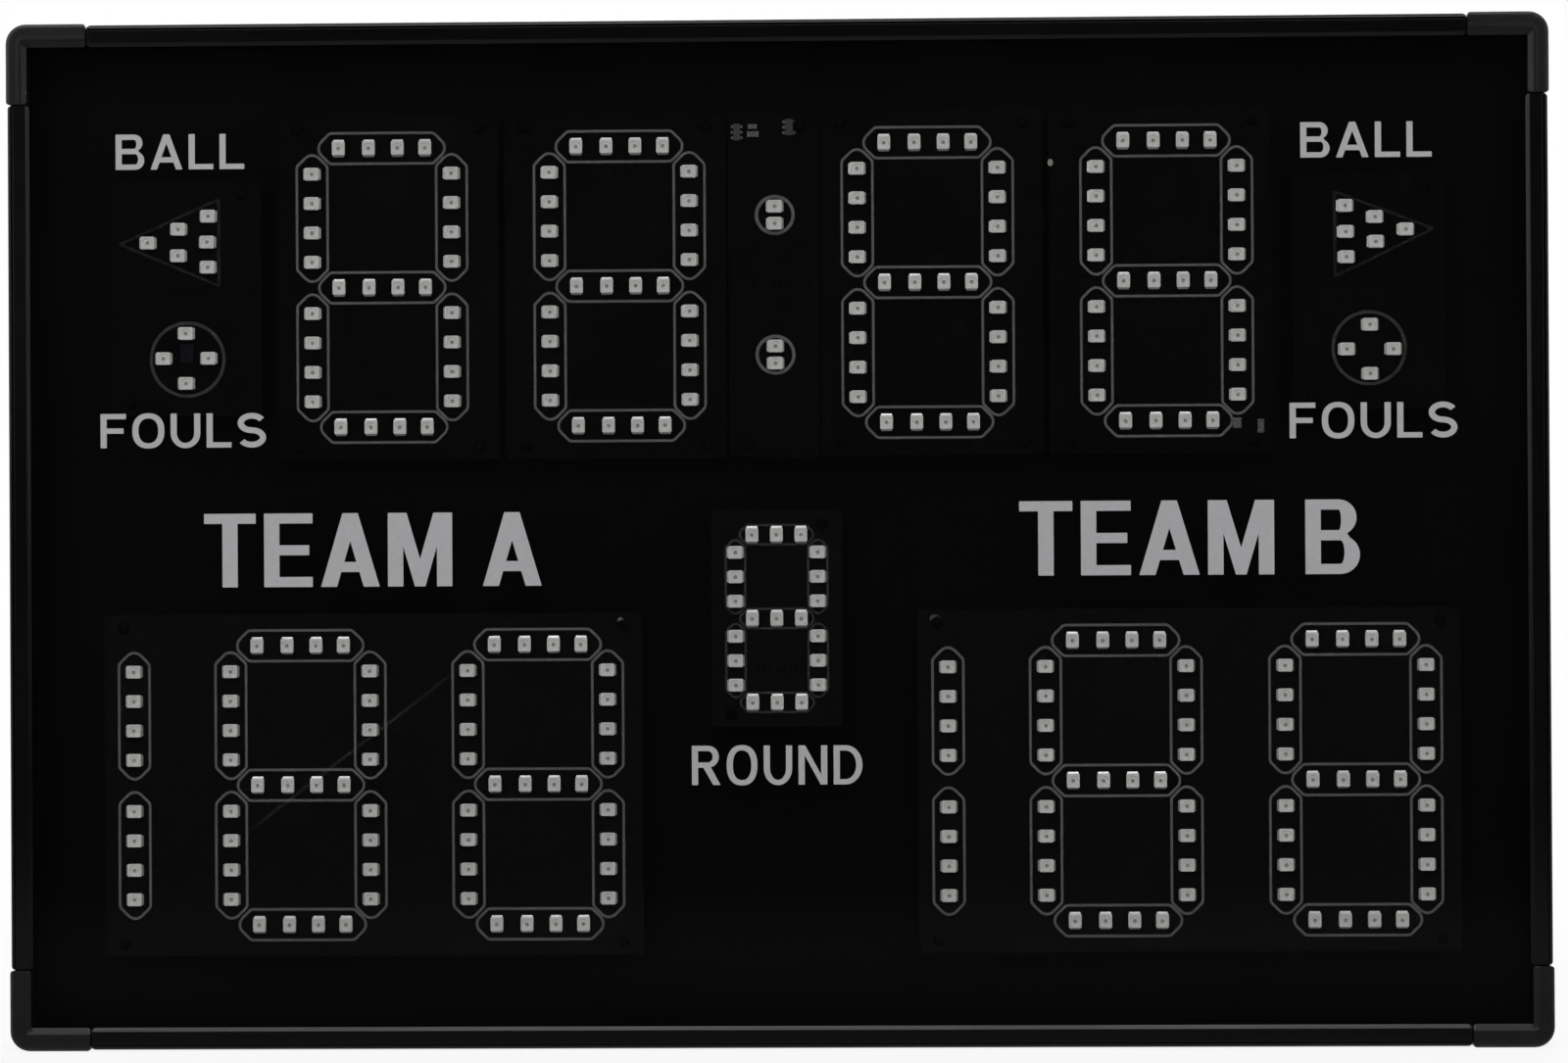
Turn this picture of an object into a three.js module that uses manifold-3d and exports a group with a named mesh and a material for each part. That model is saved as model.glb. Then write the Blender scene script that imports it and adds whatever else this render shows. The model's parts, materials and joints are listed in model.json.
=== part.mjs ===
// Electronic scoreboard: a shallow framed case that holds LED digit boards behind a smoked panel.
// Millimetres. X runs to the right, Y runs from the front to the back, and Z is up.
// The origin is at the middle of the underside, half way between the front and the back.

import * as THREE from 'three';
import { mergeVertices } from 'three/addons/utils/BufferGeometryUtils.js';
import Module from 'manifold-3d';

const wasm = await Module();
wasm.setup();

// Case, measured over the corner caps. It is as wide and as high as its two rows of boards
// and these margins round them, which comes to 610 by 407.6.
const CASE_D = 40;
const SIDE_MARGIN = 40.2;
const TOP_MARGIN = 36.6;
const BOTTOM_MARGIN = 36.7;
const ROW_GAP = 61.3;       // from the score boards up to the timer boards

// Fits that every piece shares
const CLEAR = 0.3;      // gap between two pieces that sit on each other
const SEAT = 0.1;       // gap under a screw head or a plate on a flat face
const EMBED = 0.4;      // how far a detail is sunk into the body that carries it
const OVERRUN = 3;      // how far a cutter runs past the face that it cuts

// Frame rails, a channel section that is open to the inside
const RAIL_WALL = 1.6;
const RAIL_FACE = 8.8;      // width of the front lip
const LIP_T = 1.4;
const LIP_BEVEL_W = 1.5;    // slope along the lip's inner edge
const LIP_BEVEL_D = 0.7;
const RAIL_ROUND = 0.7;     // chamfer along the outer edges
const BEAD_W = 1.5;         // raised strip between the outer edge and the groove
const GROOVE_W = 0.9;
const GROOVE_D = 0.5;
const RIB_T = 1.2;
const RIB_REACH = 5.8;      // from the outer face to a rib's tip
const LEDGE_T = 1.7;
const LEDGE_REACH = 12;     // from the outer face to the rear ledge's tip

// Corner caps
const CAP_PROUD = 0.5;      // how far a cap stands out from the rails
const CAP_LEG = 32;
const CAP_R = 7;
const CAP_WALL = CAP_PROUD + RAIL_WALL;
const CAP_ROUND = 0.9;      // chamfer along a cap's outer edges
const CAP_NOTCH = 1;        // chamfer across the end of each leg
const CAP_BLOCK = 10.5;     // depth of the solid block from the outer face
const TONGUE_L = 25;

// Front panel and display tray, which slide in the rails' grooves
const PANEL_T = 3;
const TRAY_T = 2;
const SHEET_INSET = 3.2;    // from a rail's outer face to the edge of a sheet in its groove

// Circuit boards and the LED packages on them
const PCB_T = 1.6;
const LED_L = 5.6;
const LED_W = 5;
const LED_T = 1.6;
const LED_GAP = 1;          // from the LED faces to the back of the panel
const PCB_STANDOFF = 5;     // from the back of an LED board to the tray

// Snap posts that carry the boards
const POST_R = 3.2;
const POST_NECK_R = 1.8;
const POST_HEAD_R = 2.6;
const POST_TIP_R = 1.5;
const POST_HEAD_T = 1.1;
const POST_SIDES = 6;

// Rear cover
const COVER_T = 2;
const COVER_RECESS = 1;     // from the rails' rear edge to the cover's outer face
const GRILLE_HOLE_R = 2.2;
const GRILLE_RING = 9;      // radius that each ring of grille holes adds
const GRILLE_RINGS = 2;
const GRILLE_HOLES_PER_RING = 6;
const GRILLE_SIDES = 8;

// Screws
const SCREW_R = 1.5;
const SCREW_HEAD_R = 2.8;
const SCREW_HEAD_T = 1.2;
const COVER_SCREW_L = 14;
const SMALL_SCREW_L = 7;
const SCREW_FROM_CAP = 12;  // from a cap's end to the screw in its tongue
const SCREW_INSET = 7;      // from a rail's outer face
const SCREW_SIDES = 8;

// Hanger plates
const HANGER_W = 60;
const HANGER_H = 26;
const HANGER_T = 1.2;
const HANGER_INSET = 115;   // from the case's side to a plate's middle
const HANGER_DROP = 45.6;   // from the top of the case
const HANGER_CORNER_R = 4;
const HANGER_SCREW_X = 22;
const KEYHOLE_R = 5;
const KEYHOLE_SLOT_W = 5;
const KEYHOLE_RISE = 11;    // from the round mouth's centre to the top of the slot
const KEYHOLE_DROP = 5.5;   // from the plate's middle down to the mouth's centre
const KEYHOLE_MARGIN = 2.5; // how much wider the window in the cover is
const SINK_HEAD_R = 3.2;

// Digits: seven segments of LEDs
const COLUMN_SPACING = 55.6;
const ROW_SPACING = 55.5;
const COLUMN_PITCH = 11.7;
const LEDS_PER_COLUMN = 4;
const ROW_LED_SHARES = [-0.308, -0.092, 0.115, 0.312];  // of the column spacing
const BOTTOM_ROW_SHIFT = 0.45;
const DIGIT_GAP = 39;       // between the facing columns of two neighbouring digits
const ONE_GAP = 38.6;       // from a leading one to the next digit's near column

// Timer: two pairs of digits and a colon between them
const TIMER_MARGIN_Z = 13;         // from a digit's outer rows to its board's edges
const TIMER_BOARD_GAP = 6.6;       // how much narrower a board is than the digits' pitch
const TIMER_OUT_SHIFT = 2.4;       // an outer digit's board lies nearer the middle
const TIMER_IN_SHIFT = 1.6;        // an inner digit's board lies away from it
const TIMER_PAIR_LIFTS = [0, 0.6]; // the left pair's and the right pair's
const COLON_X = -0.5;
const COLON_PCB_W = 36;
const COLON_BOARD_GAPS = [0.9, 0.6];   // to the board on its left and on its right
const COLON_LED_PITCH = 6.8;
const LEDS_PER_DOT = 2;

// Scores: a leading one and two digits for each side
const SCORE_MARGIN_Z = 12.5;
const SCORE_PAST_ONE = 12;         // from a leading one to its board's edge
const SCORE_PAST_DIGIT = 13.7;     // from the last digit's far column to its board's edge
const SCORE_LIFTS = [0, 0.5];

// Single small digit between the scores
const SMALL_X = -0.1;
const SMALL_DROP = 21;             // from the timer boards down to its board
const SMALL_COLUMN_SPACING = 32.7;
const SMALL_ROW_SPACING = 33.3;
const SMALL_MARGIN_X = 9.65;
const SMALL_MARGIN_Z = 9.7;
const SMALL_BOARD_GAPS = [27.7, 29.7];  // to the score board on its left and on its right
const SMALL_LED_PITCH = 9.7;
const LEDS_PER_SMALL_BAR = 3;
const SMALL_HEADER_DROP = 20;      // its header is below the board's middle

// Side indicators: an arrow of six LEDs over a ring of four
const MARK_GAP = 6.8;              // from the left indicator board to the timer board beside it
const MARK_PCB_W = 60;
const MARK_MARGIN_Z = 23.5;        // beyond the middles of the arrow and the ring
const ARROW_RISE = 19.5;           // above the middle of the timer
const RING_DROP = 27.2;            // below it
const ARROW_STEP_X = 11.8;
const ARROW_STEP_Z = 10.1;
const ARROW_TIP_OUT = 14.4;        // from the middle line out to the tip's LED
const ARROW_RANKS = 3;
const RING_LED_R = 9.6;

// Holes for the snap posts, from a board's corners
const POST_INSET_X = 7.8;
const POST_INSET_Z = 5.2;

// Headers on the boards and the flat harness that plugs into them
const HEADER_W = 20;
const HEADER_H = 5;
const HEADER_T = 3.6;
const SOCKET_W = 22;
const SOCKET_H = 7;
const SLOT_MARGIN = 1.5;
const RIBBON_W = 16;
const RIBBON_T = 1;
const RIBBON_OFF_TRAY = 4;         // from the back of the tray to the ribbon
const RIBBON_PAST_SOCKET = 1.5;

// Control board, receiver and aerial
const CONTROL_X = 0;
const CONTROL_RISE = 12.4;         // above half way between the two rows of boards
const CONTROL_W = 110;
const CONTROL_H = 72;
const CONTROL_STANDOFF = 8.4;
const CHIP_SIDE = 12;
const CHIP_T = 1.6;
const CHIP_X = -8;
const CHIP_DROP = 6;
const CAPACITOR_R = 4;
const CAPACITOR_T = 8;
const CAPACITOR_SHARES = [0.18, 0.3];    // of the control board's width
const TERMINAL_W = 10;
const TERMINAL_H = 12;
const TERMINAL_T = 6;
const TERMINAL_DROP = 11;
const RECEIVER_W = 36;
const RECEIVER_H = 20;
const RECEIVER_T = 1.2;
const RECEIVER_DROP = 14;          // from the control board's upper edge
const RECEIVER_HEADER_W = 14;
const RECEIVER_HEADER_H = 3;
const RECEIVER_HEADER_T = 3.6;
const RECEIVER_CAN_SIDE = 12;
const RECEIVER_CAN_T = 2;
const AERIAL_R = 0.8;
const AERIAL_L = 80;
const AERIAL_SIDES = 8;

// Horn behind the grille, level with the control board's terminals
const HORN_GAP = 66;               // from the control board to the horn's frame
const HORN_SIDE = 58;
const HORN_PLATE_T = 1.2;
const HORN_MOUTH_R = 25;
const HORN_THROAT_R = 13;
const HORN_WALL = 1.2;
const HORN_BASKET_T = 9.5;
const HORN_SCREW_X = 24.5;
const HORN_SIDES = 20;
const CONE_T = 0.8;
const CONE_DEPTH = 6;
const CONE_THROAT_R = 7;
const MAGNET_R = 16;
const MAGNET_T = 5.5;
const HORN_TAG_OUT = 24;
const HORN_TAG_W = 5;

// Power inlet, switch and pairing button, on the right rail
const INLET_Z = 72;
const INLET_FLANGE_R = 6.5;
const INLET_NECK_R = 5.2;
const INLET_L = 13;
const INLET_BORE_R = 3.1;
const INLET_BORE_L = 9;
const INLET_PIN_R = 1.05;
const INLET_PIN_L = 8;
const FLANGE_T = 1.2;
const NUT_R = 7.8;
const NUT_T = 2.4;
const NUT_SIDES = 6;
const TURNED_SIDES = 16;

const SWITCH_Z = 104;
const SWITCH_BEZEL_W = 13;
const SWITCH_BEZEL_H = 20.6;
const SWITCH_BODY_W = 11.4;
const SWITCH_BODY_H = 18.6;
const SWITCH_BODY_L = 14;
const SWITCH_WELL_W = 9;
const SWITCH_WELL_H = 16.6;
const SWITCH_WELL_L = 8;
const ROCKER_TILT = 11;          // degrees either side of level
const ROCKER_PIVOT = 2;          // below the rail's outer face
const ROCKER_HALF_L = 7.5;
const ROCKER_RISE = 1.3;         // its ends above the rail's outer face, when level
const ROCKER_DIP = 0.9;          // how much lower its middle is
const ROCKER_KEEL = 3;           // below the pivot
const ROCKER_AXLE_R = 1.1;
const ROCKER_AXLE_HOLE_R = 1.4;
const ROCKER_AXLE_BITE = 0.8;    // how far the axle reaches into the housing's walls
const ROCKER_SIDES = 12;

const BUTTON_Z = 134;
const BUTTON_FLANGE_R = 6;
const BUTTON_NECK_R = 5.2;
const BUTTON_L = 10;
const BUTTON_MOUTH_R = 3;
const BUTTON_CHAMBER_R = 4;
const BUTTON_MOUTH_L = 2.4;      // length of the narrow mouth below the rail's outer face
const BUTTON_CHAMBER_L = 5;
const BUTTON_R = 2.7;
const BUTTON_COLLAR_R = 3.6;
const BUTTON_COLLAR_T = 1.2;
const BUTTON_PROUD = 3;          // above the rail's outer face at rest
const BUTTON_DOME = 0.5;

// Leads
const LEAD_R = 1.6;
const LEAD_SIDES = 8;
const LEAD_STEPS = 14;
const LEAD_SPREAD = 4.5;         // either side of the switch's middle
const INLET_LEAD_BULGE = 9;
const SUPPLY_RISE_SHARES = [0.04, 0.3, 0.72, 0.97];    // of the climb to the control board
const SUPPLY_RUN_SHARES = [0.1, 0.4, 0.72, 0.9];       // of the way across
const HORN_LEAD_SAG = 7;

// Facets along round corners
const ARC_STEPS = 4;

// Places worked out from the sizes above

const CAP_FRONT = -CASE_D / 2;
const CAP_BACK = CASE_D / 2;
const RAIL_FRONT = CAP_FRONT + CAP_PROUD;
const RAIL_BACK = CAP_BACK - CAP_PROUD;
const LIP_BACK = RAIL_FRONT + LIP_T;
const PANEL_FRONT = LIP_BACK + CLEAR;
const PANEL_BACK = PANEL_FRONT + PANEL_T;
const FRONT_RIB = PANEL_BACK + CLEAR;
const LED_FRONT = PANEL_BACK + LED_GAP;
const PCB_FRONT = LED_FRONT + LED_T;
const PCB_BACK = PCB_FRONT + PCB_T;
const TRAY_FRONT = PCB_BACK + PCB_STANDOFF;
const TRAY_BACK = TRAY_FRONT + TRAY_T;
const MIDDLE_RIB = TRAY_FRONT - CLEAR - RIB_T;
const REAR_RIB = TRAY_BACK + CLEAR;
const CHANNEL_FRONT = REAR_RIB + RIB_T;
const COVER_BACK = RAIL_BACK - COVER_RECESS;
const COVER_FRONT = COVER_BACK - COVER_T;
const LEDGE_BACK = COVER_FRONT - CLEAR;
const LEDGE_FRONT = LEDGE_BACK - LEDGE_T;
const CHANNEL_MIDDLE = (CHANNEL_FRONT + LEDGE_FRONT) / 2;
const RIBBON_FRONT = TRAY_BACK + RIBBON_OFF_TRAY;
const RIBBON_BACK = RIBBON_FRONT + RIBBON_T;
const CONTROL_FRONT = TRAY_BACK + CONTROL_STANDOFF;
const CONTROL_BACK = CONTROL_FRONT + PCB_T;

const DIGIT_PITCH = COLUMN_SPACING + DIGIT_GAP;
const ONE_PITCH = ONE_GAP + COLUMN_SPACING / 2;
const TIMER_PCB_W = DIGIT_PITCH - TIMER_BOARD_GAP;
const TIMER_PCB_H = 2 * (ROW_SPACING + TIMER_MARGIN_Z);
const SCORE_PCB_H = 2 * (ROW_SPACING + SCORE_MARGIN_Z);
const SMALL_PCB_W = SMALL_COLUMN_SPACING + 2 * SMALL_MARGIN_X;
const SMALL_PCB_H = 2 * (SMALL_ROW_SPACING + SMALL_MARGIN_Z);
const MARK_PCB_H = ARROW_RISE + RING_DROP + 2 * MARK_MARGIN_Z;

const SCORE_Z = BOTTOM_MARGIN + SCORE_PCB_H / 2;
const TIMER_Z = BOTTOM_MARGIN + SCORE_PCB_H + ROW_GAP + TIMER_PCB_H / 2;
const SMALL_Z = TIMER_Z - TIMER_PCB_H / 2 - SMALL_DROP - SMALL_PCB_H / 2;
const ARROW_Z = TIMER_Z + ARROW_RISE;
const RING_Z = TIMER_Z - RING_DROP;
const CASE_H = TIMER_Z + TIMER_PCB_H / 2 + TOP_MARGIN;

// Middle of the inner digit of each timer pair, left and right
const INNER_DIGIT_X = [-1, 1].map((side, index) => (
  COLON_X + side * (COLON_PCB_W / 2 + COLON_BOARD_GAPS[index] + TIMER_PCB_W / 2 - TIMER_IN_SHIFT)));
const TIMER_LEFT_EDGE = INNER_DIGIT_X[0] - DIGIT_PITCH + TIMER_OUT_SHIFT - TIMER_PCB_W / 2;
const MARK_X = MARK_GAP + MARK_PCB_W / 2 - TIMER_LEFT_EDGE;
const CASE_HALF_W = MARK_X + MARK_PCB_W / 2 + SIDE_MARGIN;
const CASE_W = 2 * CASE_HALF_W;
const CASE_MIDDLE_Z = CASE_H / 2;

// Middle of the last digit of each score, left and right
const SCORE_LAST_X = [
  SMALL_X - SMALL_PCB_W / 2 - SMALL_BOARD_GAPS[0] - SCORE_PAST_DIGIT - COLUMN_SPACING / 2,
  SMALL_X + SMALL_PCB_W / 2 + SMALL_BOARD_GAPS[1] + SCORE_PAST_ONE + ONE_PITCH + DIGIT_PITCH,
];

const CONTROL_Z = (SCORE_Z + TIMER_Z) / 2 + CONTROL_RISE;
const HORN_X = CONTROL_X - CONTROL_W / 2 - HORN_GAP - HORN_SIDE / 2;
const HORN_Z = CONTROL_Z - TERMINAL_DROP;
const HANGER_X = CASE_HALF_W - HANGER_INSET;
const HANGER_Z = CASE_H - HANGER_DROP;

const RAIL_OUT_X = CASE_HALF_W - CAP_PROUD;
const SHEET_HALF_W = RAIL_OUT_X - SHEET_INSET;
const SHEET_HALF_H = CASE_MIDDLE_Z - CAP_PROUD - SHEET_INSET;
const SHEET_R = CAP_R - CAP_PROUD - SHEET_INSET;
const COVER_HALF_W = RAIL_OUT_X - RAIL_WALL - CLEAR;
const COVER_HALF_H = CASE_MIDDLE_Z - CAP_PROUD - RAIL_WALL - CLEAR;
const COVER_R = CAP_R - CAP_WALL - CLEAR;
const HOLE_R = SCREW_R + CLEAR;
const SCREW_ALONG = CAP_LEG + SCREW_FROM_CAP;

// Closed three.js geometry into a solid that can be cut and joined.
function solid(geometry) {
  const bare = geometry.clone();
  bare.deleteAttribute('normal');
  bare.deleteAttribute('uv');
  const welded = mergeVertices(bare);
  return new wasm.Manifold(new wasm.Mesh({
    numProp: 3,
    vertProperties: new Float32Array(welded.attributes.position.array),
    triVerts: new Uint32Array(welded.index.array),
  }));
}

// A solid back into a three.js geometry.
function geometryOf(body) {
  const surface = body.getMesh();
  const geometry = new THREE.BufferGeometry();
  geometry.setAttribute('position', new THREE.BufferAttribute(surface.vertProperties, 3));
  geometry.setIndex(new THREE.BufferAttribute(surface.triVerts, 1));
  geometry.computeVertexNormals();
  return geometry;
}

function joined(bodies) {
  return bodies.reduce((whole, body) => whole.add(body));
}

function cut(body, cutters) {
  return cutters.reduce((whole, cutter) => whole.subtract(cutter), body);
}

// A block between two values on each axis.
function block(x0, x1, y0, y1, z0, z1) {
  const geometry = new THREE.BoxGeometry(x1 - x0, y1 - y0, z1 - z0);
  geometry.translate((x0 + x1) / 2, (y0 + y1) / 2, (z0 + z1) / 2);
  return solid(geometry);
}

// A block centred on a point of the X and Z plane.
function blockAt(x, z, w, h, y0, y1) {
  return block(x - w / 2, x + w / 2, y0, y1, z - h / 2, z + h / 2);
}

// A round bar along Y, or a cone when the rear radius differs.
function bar(x, z, y0, y1, r, sides = SCREW_SIDES, rearR = r) {
  const geometry = new THREE.CylinderGeometry(rearR, r, y1 - y0, sides);
  geometry.translate(x, (y0 + y1) / 2, z);
  return solid(geometry);
}

// A flat shape drawn in X and Z, made thick from y0 to y1.
function slab(shape, y0, y1, bevel = {}) {
  const geometry = new THREE.ExtrudeGeometry(shape, {
    depth: y1 - y0, bevelEnabled: false, curveSegments: ARC_STEPS, ...bevel,
  });
  geometry.rotateX(Math.PI / 2);
  geometry.translate(0, y1, 0);
  return solid(geometry);
}

// A profile of radius and Y, turned about the Y axis.
function turned(profile, sides) {
  const points = profile.map(([r, y]) => new THREE.Vector2(r, y));
  return solid(new THREE.LatheGeometry(points, sides));
}

function polygon(points) {
  return new THREE.Shape(points.map(([a, b]) => new THREE.Vector2(a, b)));
}

function roundedRectangle(x0, x1, z0, z1, r) {
  const shape = new THREE.Shape();
  shape.moveTo(x0 + r, z0);
  shape.lineTo(x1 - r, z0);
  shape.absarc(x1 - r, z0 + r, r, -Math.PI / 2, 0);
  shape.lineTo(x1, z1 - r);
  shape.absarc(x1 - r, z1 - r, r, 0, Math.PI / 2);
  shape.lineTo(x0 + r, z1);
  shape.absarc(x0 + r, z1 - r, r, Math.PI / 2, Math.PI);
  shape.lineTo(x0, z0 + r);
  shape.absarc(x0 + r, z0 + r, r, Math.PI, Math.PI * 1.5);
  return shape;
}

// A round lead along a smooth curve through points.
function lead(points) {
  const section = new THREE.Shape();
  for (let side = 0; side < LEAD_SIDES; side += 1) {
    const angle = (2 * Math.PI * side) / LEAD_SIDES;
    const x = LEAD_R * Math.cos(angle);
    const y = LEAD_R * Math.sin(angle);
    if (side === 0) section.moveTo(x, y);
    else section.lineTo(x, y);
  }
  const path = new THREE.CatmullRomCurve3(points.map((p) => new THREE.Vector3(...p)));
  return solid(new THREE.ExtrudeGeometry(section, { steps: LEAD_STEPS, extrudePath: path }));
}

// Finishes

const finishes = {
  anodised: new THREE.MeshStandardMaterial({ color: 0x1b1b1c, roughness: 0.42, metalness: 0.6 }),
  cap: new THREE.MeshStandardMaterial({ color: 0x2b2b2c, roughness: 0.55, metalness: 0 }),
  panel: new THREE.MeshStandardMaterial({ color: 0x0b0b0c, roughness: 0.12, metalness: 0 }),
  tray: new THREE.MeshStandardMaterial({ color: 0x0d0d0d, roughness: 0.8, metalness: 0 }),
  cover: new THREE.MeshStandardMaterial({ color: 0x191919, roughness: 0.6, metalness: 0 }),
  board: new THREE.MeshStandardMaterial({ color: 0x131414, roughness: 0.5, metalness: 0 }),
  steel: new THREE.MeshStandardMaterial({ color: 0x9a9a98, roughness: 0.35, metalness: 1 }),
  blackScrew: new THREE.MeshStandardMaterial({ color: 0x232323, roughness: 0.4, metalness: 0.8 }),
  plastic: new THREE.MeshStandardMaterial({ color: 0x151515, roughness: 0.45, metalness: 0 }),
  ribbon: new THREE.MeshStandardMaterial({ color: 0x8d8d8b, roughness: 0.6, metalness: 0 }),
  cone: new THREE.MeshStandardMaterial({ color: 0x262522, roughness: 0.9, metalness: 0 }),
  lead: new THREE.MeshStandardMaterial({ color: 0x202022, roughness: 0.6, metalness: 0 }),
};

const scoreboard = new THREE.Group();

// Names a solid and adds it to a group.
function add(name, body, finish, group = scoreboard) {
  const mesh = new THREE.Mesh(geometryOf(body), finishes[finish]);
  mesh.name = name;
  group.add(mesh);
  return mesh;
}

// Frame

// Section of a rail. First value: depth in from the outer face. Second: Y.
function railSection() {
  const tipX = RAIL_FACE - LIP_BEVEL_W;
  const grooveX = BEAD_W + GROOVE_W;
  const points = [
    [0, RAIL_FRONT + RAIL_ROUND],
    [RAIL_ROUND, RAIL_FRONT],
    [BEAD_W, RAIL_FRONT],
    [BEAD_W, RAIL_FRONT + GROOVE_D],
    [grooveX, RAIL_FRONT + GROOVE_D],
    [grooveX, RAIL_FRONT],
    [tipX, RAIL_FRONT],
    [RAIL_FACE, RAIL_FRONT + LIP_BEVEL_D],
    [RAIL_FACE, LIP_BACK],
    [RAIL_WALL, LIP_BACK],
  ];
  for (const front of [FRONT_RIB, MIDDLE_RIB, REAR_RIB]) {
    points.push([RAIL_WALL, front], [RIB_REACH, front]);
    points.push([RIB_REACH, front + RIB_T], [RAIL_WALL, front + RIB_T]);
  }
  points.push([RAIL_WALL, LEDGE_FRONT], [LEDGE_REACH, LEDGE_FRONT]);
  points.push([LEDGE_REACH, LEDGE_BACK], [RAIL_WALL, LEDGE_BACK]);
  points.push([RAIL_WALL, RAIL_BACK], [RAIL_ROUND, RAIL_BACK], [0, RAIL_BACK - RAIL_ROUND]);
  return polygon(points);
}

// A rail with its length along local Z and its outer face at local X = 0, looking towards -X.
function rail(caseLength, holes) {
  const length = caseLength - 2 * (CAP_LEG + CLEAR);
  const geometry = new THREE.ExtrudeGeometry(railSection(), { depth: length, bevelEnabled: false });
  geometry.translate(0, 0, -length / 2);
  const drills = holes.map((z) => bar(SCREW_INSET, z, LEDGE_FRONT - OVERRUN, COVER_FRONT, HOLE_R));
  return cut(solid(geometry), drills);
}

function endHoles(caseLength) {
  const reach = caseLength / 2 - SCREW_ALONG;
  return [-reach, reach];
}

// Places a rail by its outer face's middle and its turn about Y.
function placeRail(name, body, x, z, turn) {
  const mesh = add(name, body, 'anodised');
  mesh.position.set(x, 0, z);
  mesh.rotation.y = turn;
}

// Cuts in the right rail for the inlet, the switch and the button. Local Z runs down there.
function sideCuts() {
  const across = (z, r) => {
    const hole = new THREE.CylinderGeometry(r, r, RAIL_WALL + 2 * OVERRUN, TURNED_SIDES);
    hole.rotateZ(Math.PI / 2);
    hole.translate(RAIL_WALL / 2, CHANNEL_MIDDLE, CASE_MIDDLE_Z - z);
    return solid(hole);
  };
  const halfW = SWITCH_BODY_W / 2 + CLEAR;
  const halfH = SWITCH_BODY_H / 2 + CLEAR;
  const middle = CASE_MIDDLE_Z - SWITCH_Z;
  return [
    across(INLET_Z, INLET_NECK_R + CLEAR),
    across(BUTTON_Z, BUTTON_NECK_R + CLEAR),
    block(-OVERRUN, RAIL_WALL + OVERRUN, CHANNEL_MIDDLE - halfW, CHANNEL_MIDDLE + halfW,
      middle - halfH, middle + halfH),
  ];
}

function makeRails() {
  const across = rail(CASE_W, [...endHoles(CASE_W), 0]);
  const upright = rail(CASE_H, endHoles(CASE_H));
  placeRail('bottom_rail', across, 0, CAP_PROUD, -Math.PI / 2);
  placeRail('top_rail', across, 0, CASE_H - CAP_PROUD, Math.PI / 2);
  placeRail('left_rail', upright, -RAIL_OUT_X, CASE_MIDDLE_Z, 0);
  placeRail('right_rail', cut(upright, sideCuts()), RAIL_OUT_X, CASE_MIDDLE_Z, Math.PI);
}

// An L of two legs, as wide as they lie in from the outer faces at X = 0 and Z = 0.
// It runs past those faces, because the case's envelope trims it there.
function cornerShape(width, innerR) {
  const shape = new THREE.Shape();
  shape.moveTo(-OVERRUN, -OVERRUN);
  shape.lineTo(CAP_LEG, -OVERRUN);
  shape.lineTo(CAP_LEG, width);
  shape.lineTo(width + innerR, width);
  if (innerR > 0) shape.absarc(width + innerR, width + innerR, innerR, -Math.PI / 2, Math.PI, true);
  shape.lineTo(width, CAP_LEG);
  shape.lineTo(-OVERRUN, CAP_LEG);
  return shape;
}

// The whole case's outline with its edges chamfered, which gives each cap its outer faces.
function caseEnvelope() {
  const outline = roundedRectangle(CAP_ROUND, CASE_W - CAP_ROUND, CAP_ROUND, CASE_H - CAP_ROUND,
    CAP_R - CAP_ROUND);
  return slab(outline, CAP_FRONT + CAP_ROUND, CAP_BACK - CAP_ROUND, {
    bevelEnabled: true, bevelThickness: CAP_ROUND, bevelSize: CAP_ROUND, bevelSegments: 1,
  });
}

// A cutter for the sloping edge round the window: wide at the front, narrow behind.
function windowBevel() {
  const edge = CAP_PROUD + RAIL_FACE;
  const opening = polygon([[edge, edge], [CASE_W, edge], [CASE_W, CASE_H], [edge, CASE_H]]);
  return slab(opening, CAP_FRONT - OVERRUN, CAP_FRONT, {
    bevelEnabled: true, bevelThickness: LIP_BEVEL_D, bevelSize: LIP_BEVEL_W, bevelSegments: 1,
  });
}

// Chamfers across the outer ends of a cap's two legs.
function legNotches() {
  const start = CAP_LEG - CAP_NOTCH;
  const past = CAP_LEG + OVERRUN;
  const outlines = [
    [[start, -OVERRUN], [past, -OVERRUN], [past, CAP_NOTCH + OVERRUN], [start, 0]],
    [[-OVERRUN, start], [0, start], [CAP_NOTCH + OVERRUN, past], [-OVERRUN, past]],
  ];
  return outlines.map((points) => (
    slab(polygon(points), CAP_FRONT - OVERRUN, CAP_BACK + OVERRUN)));
}

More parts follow.
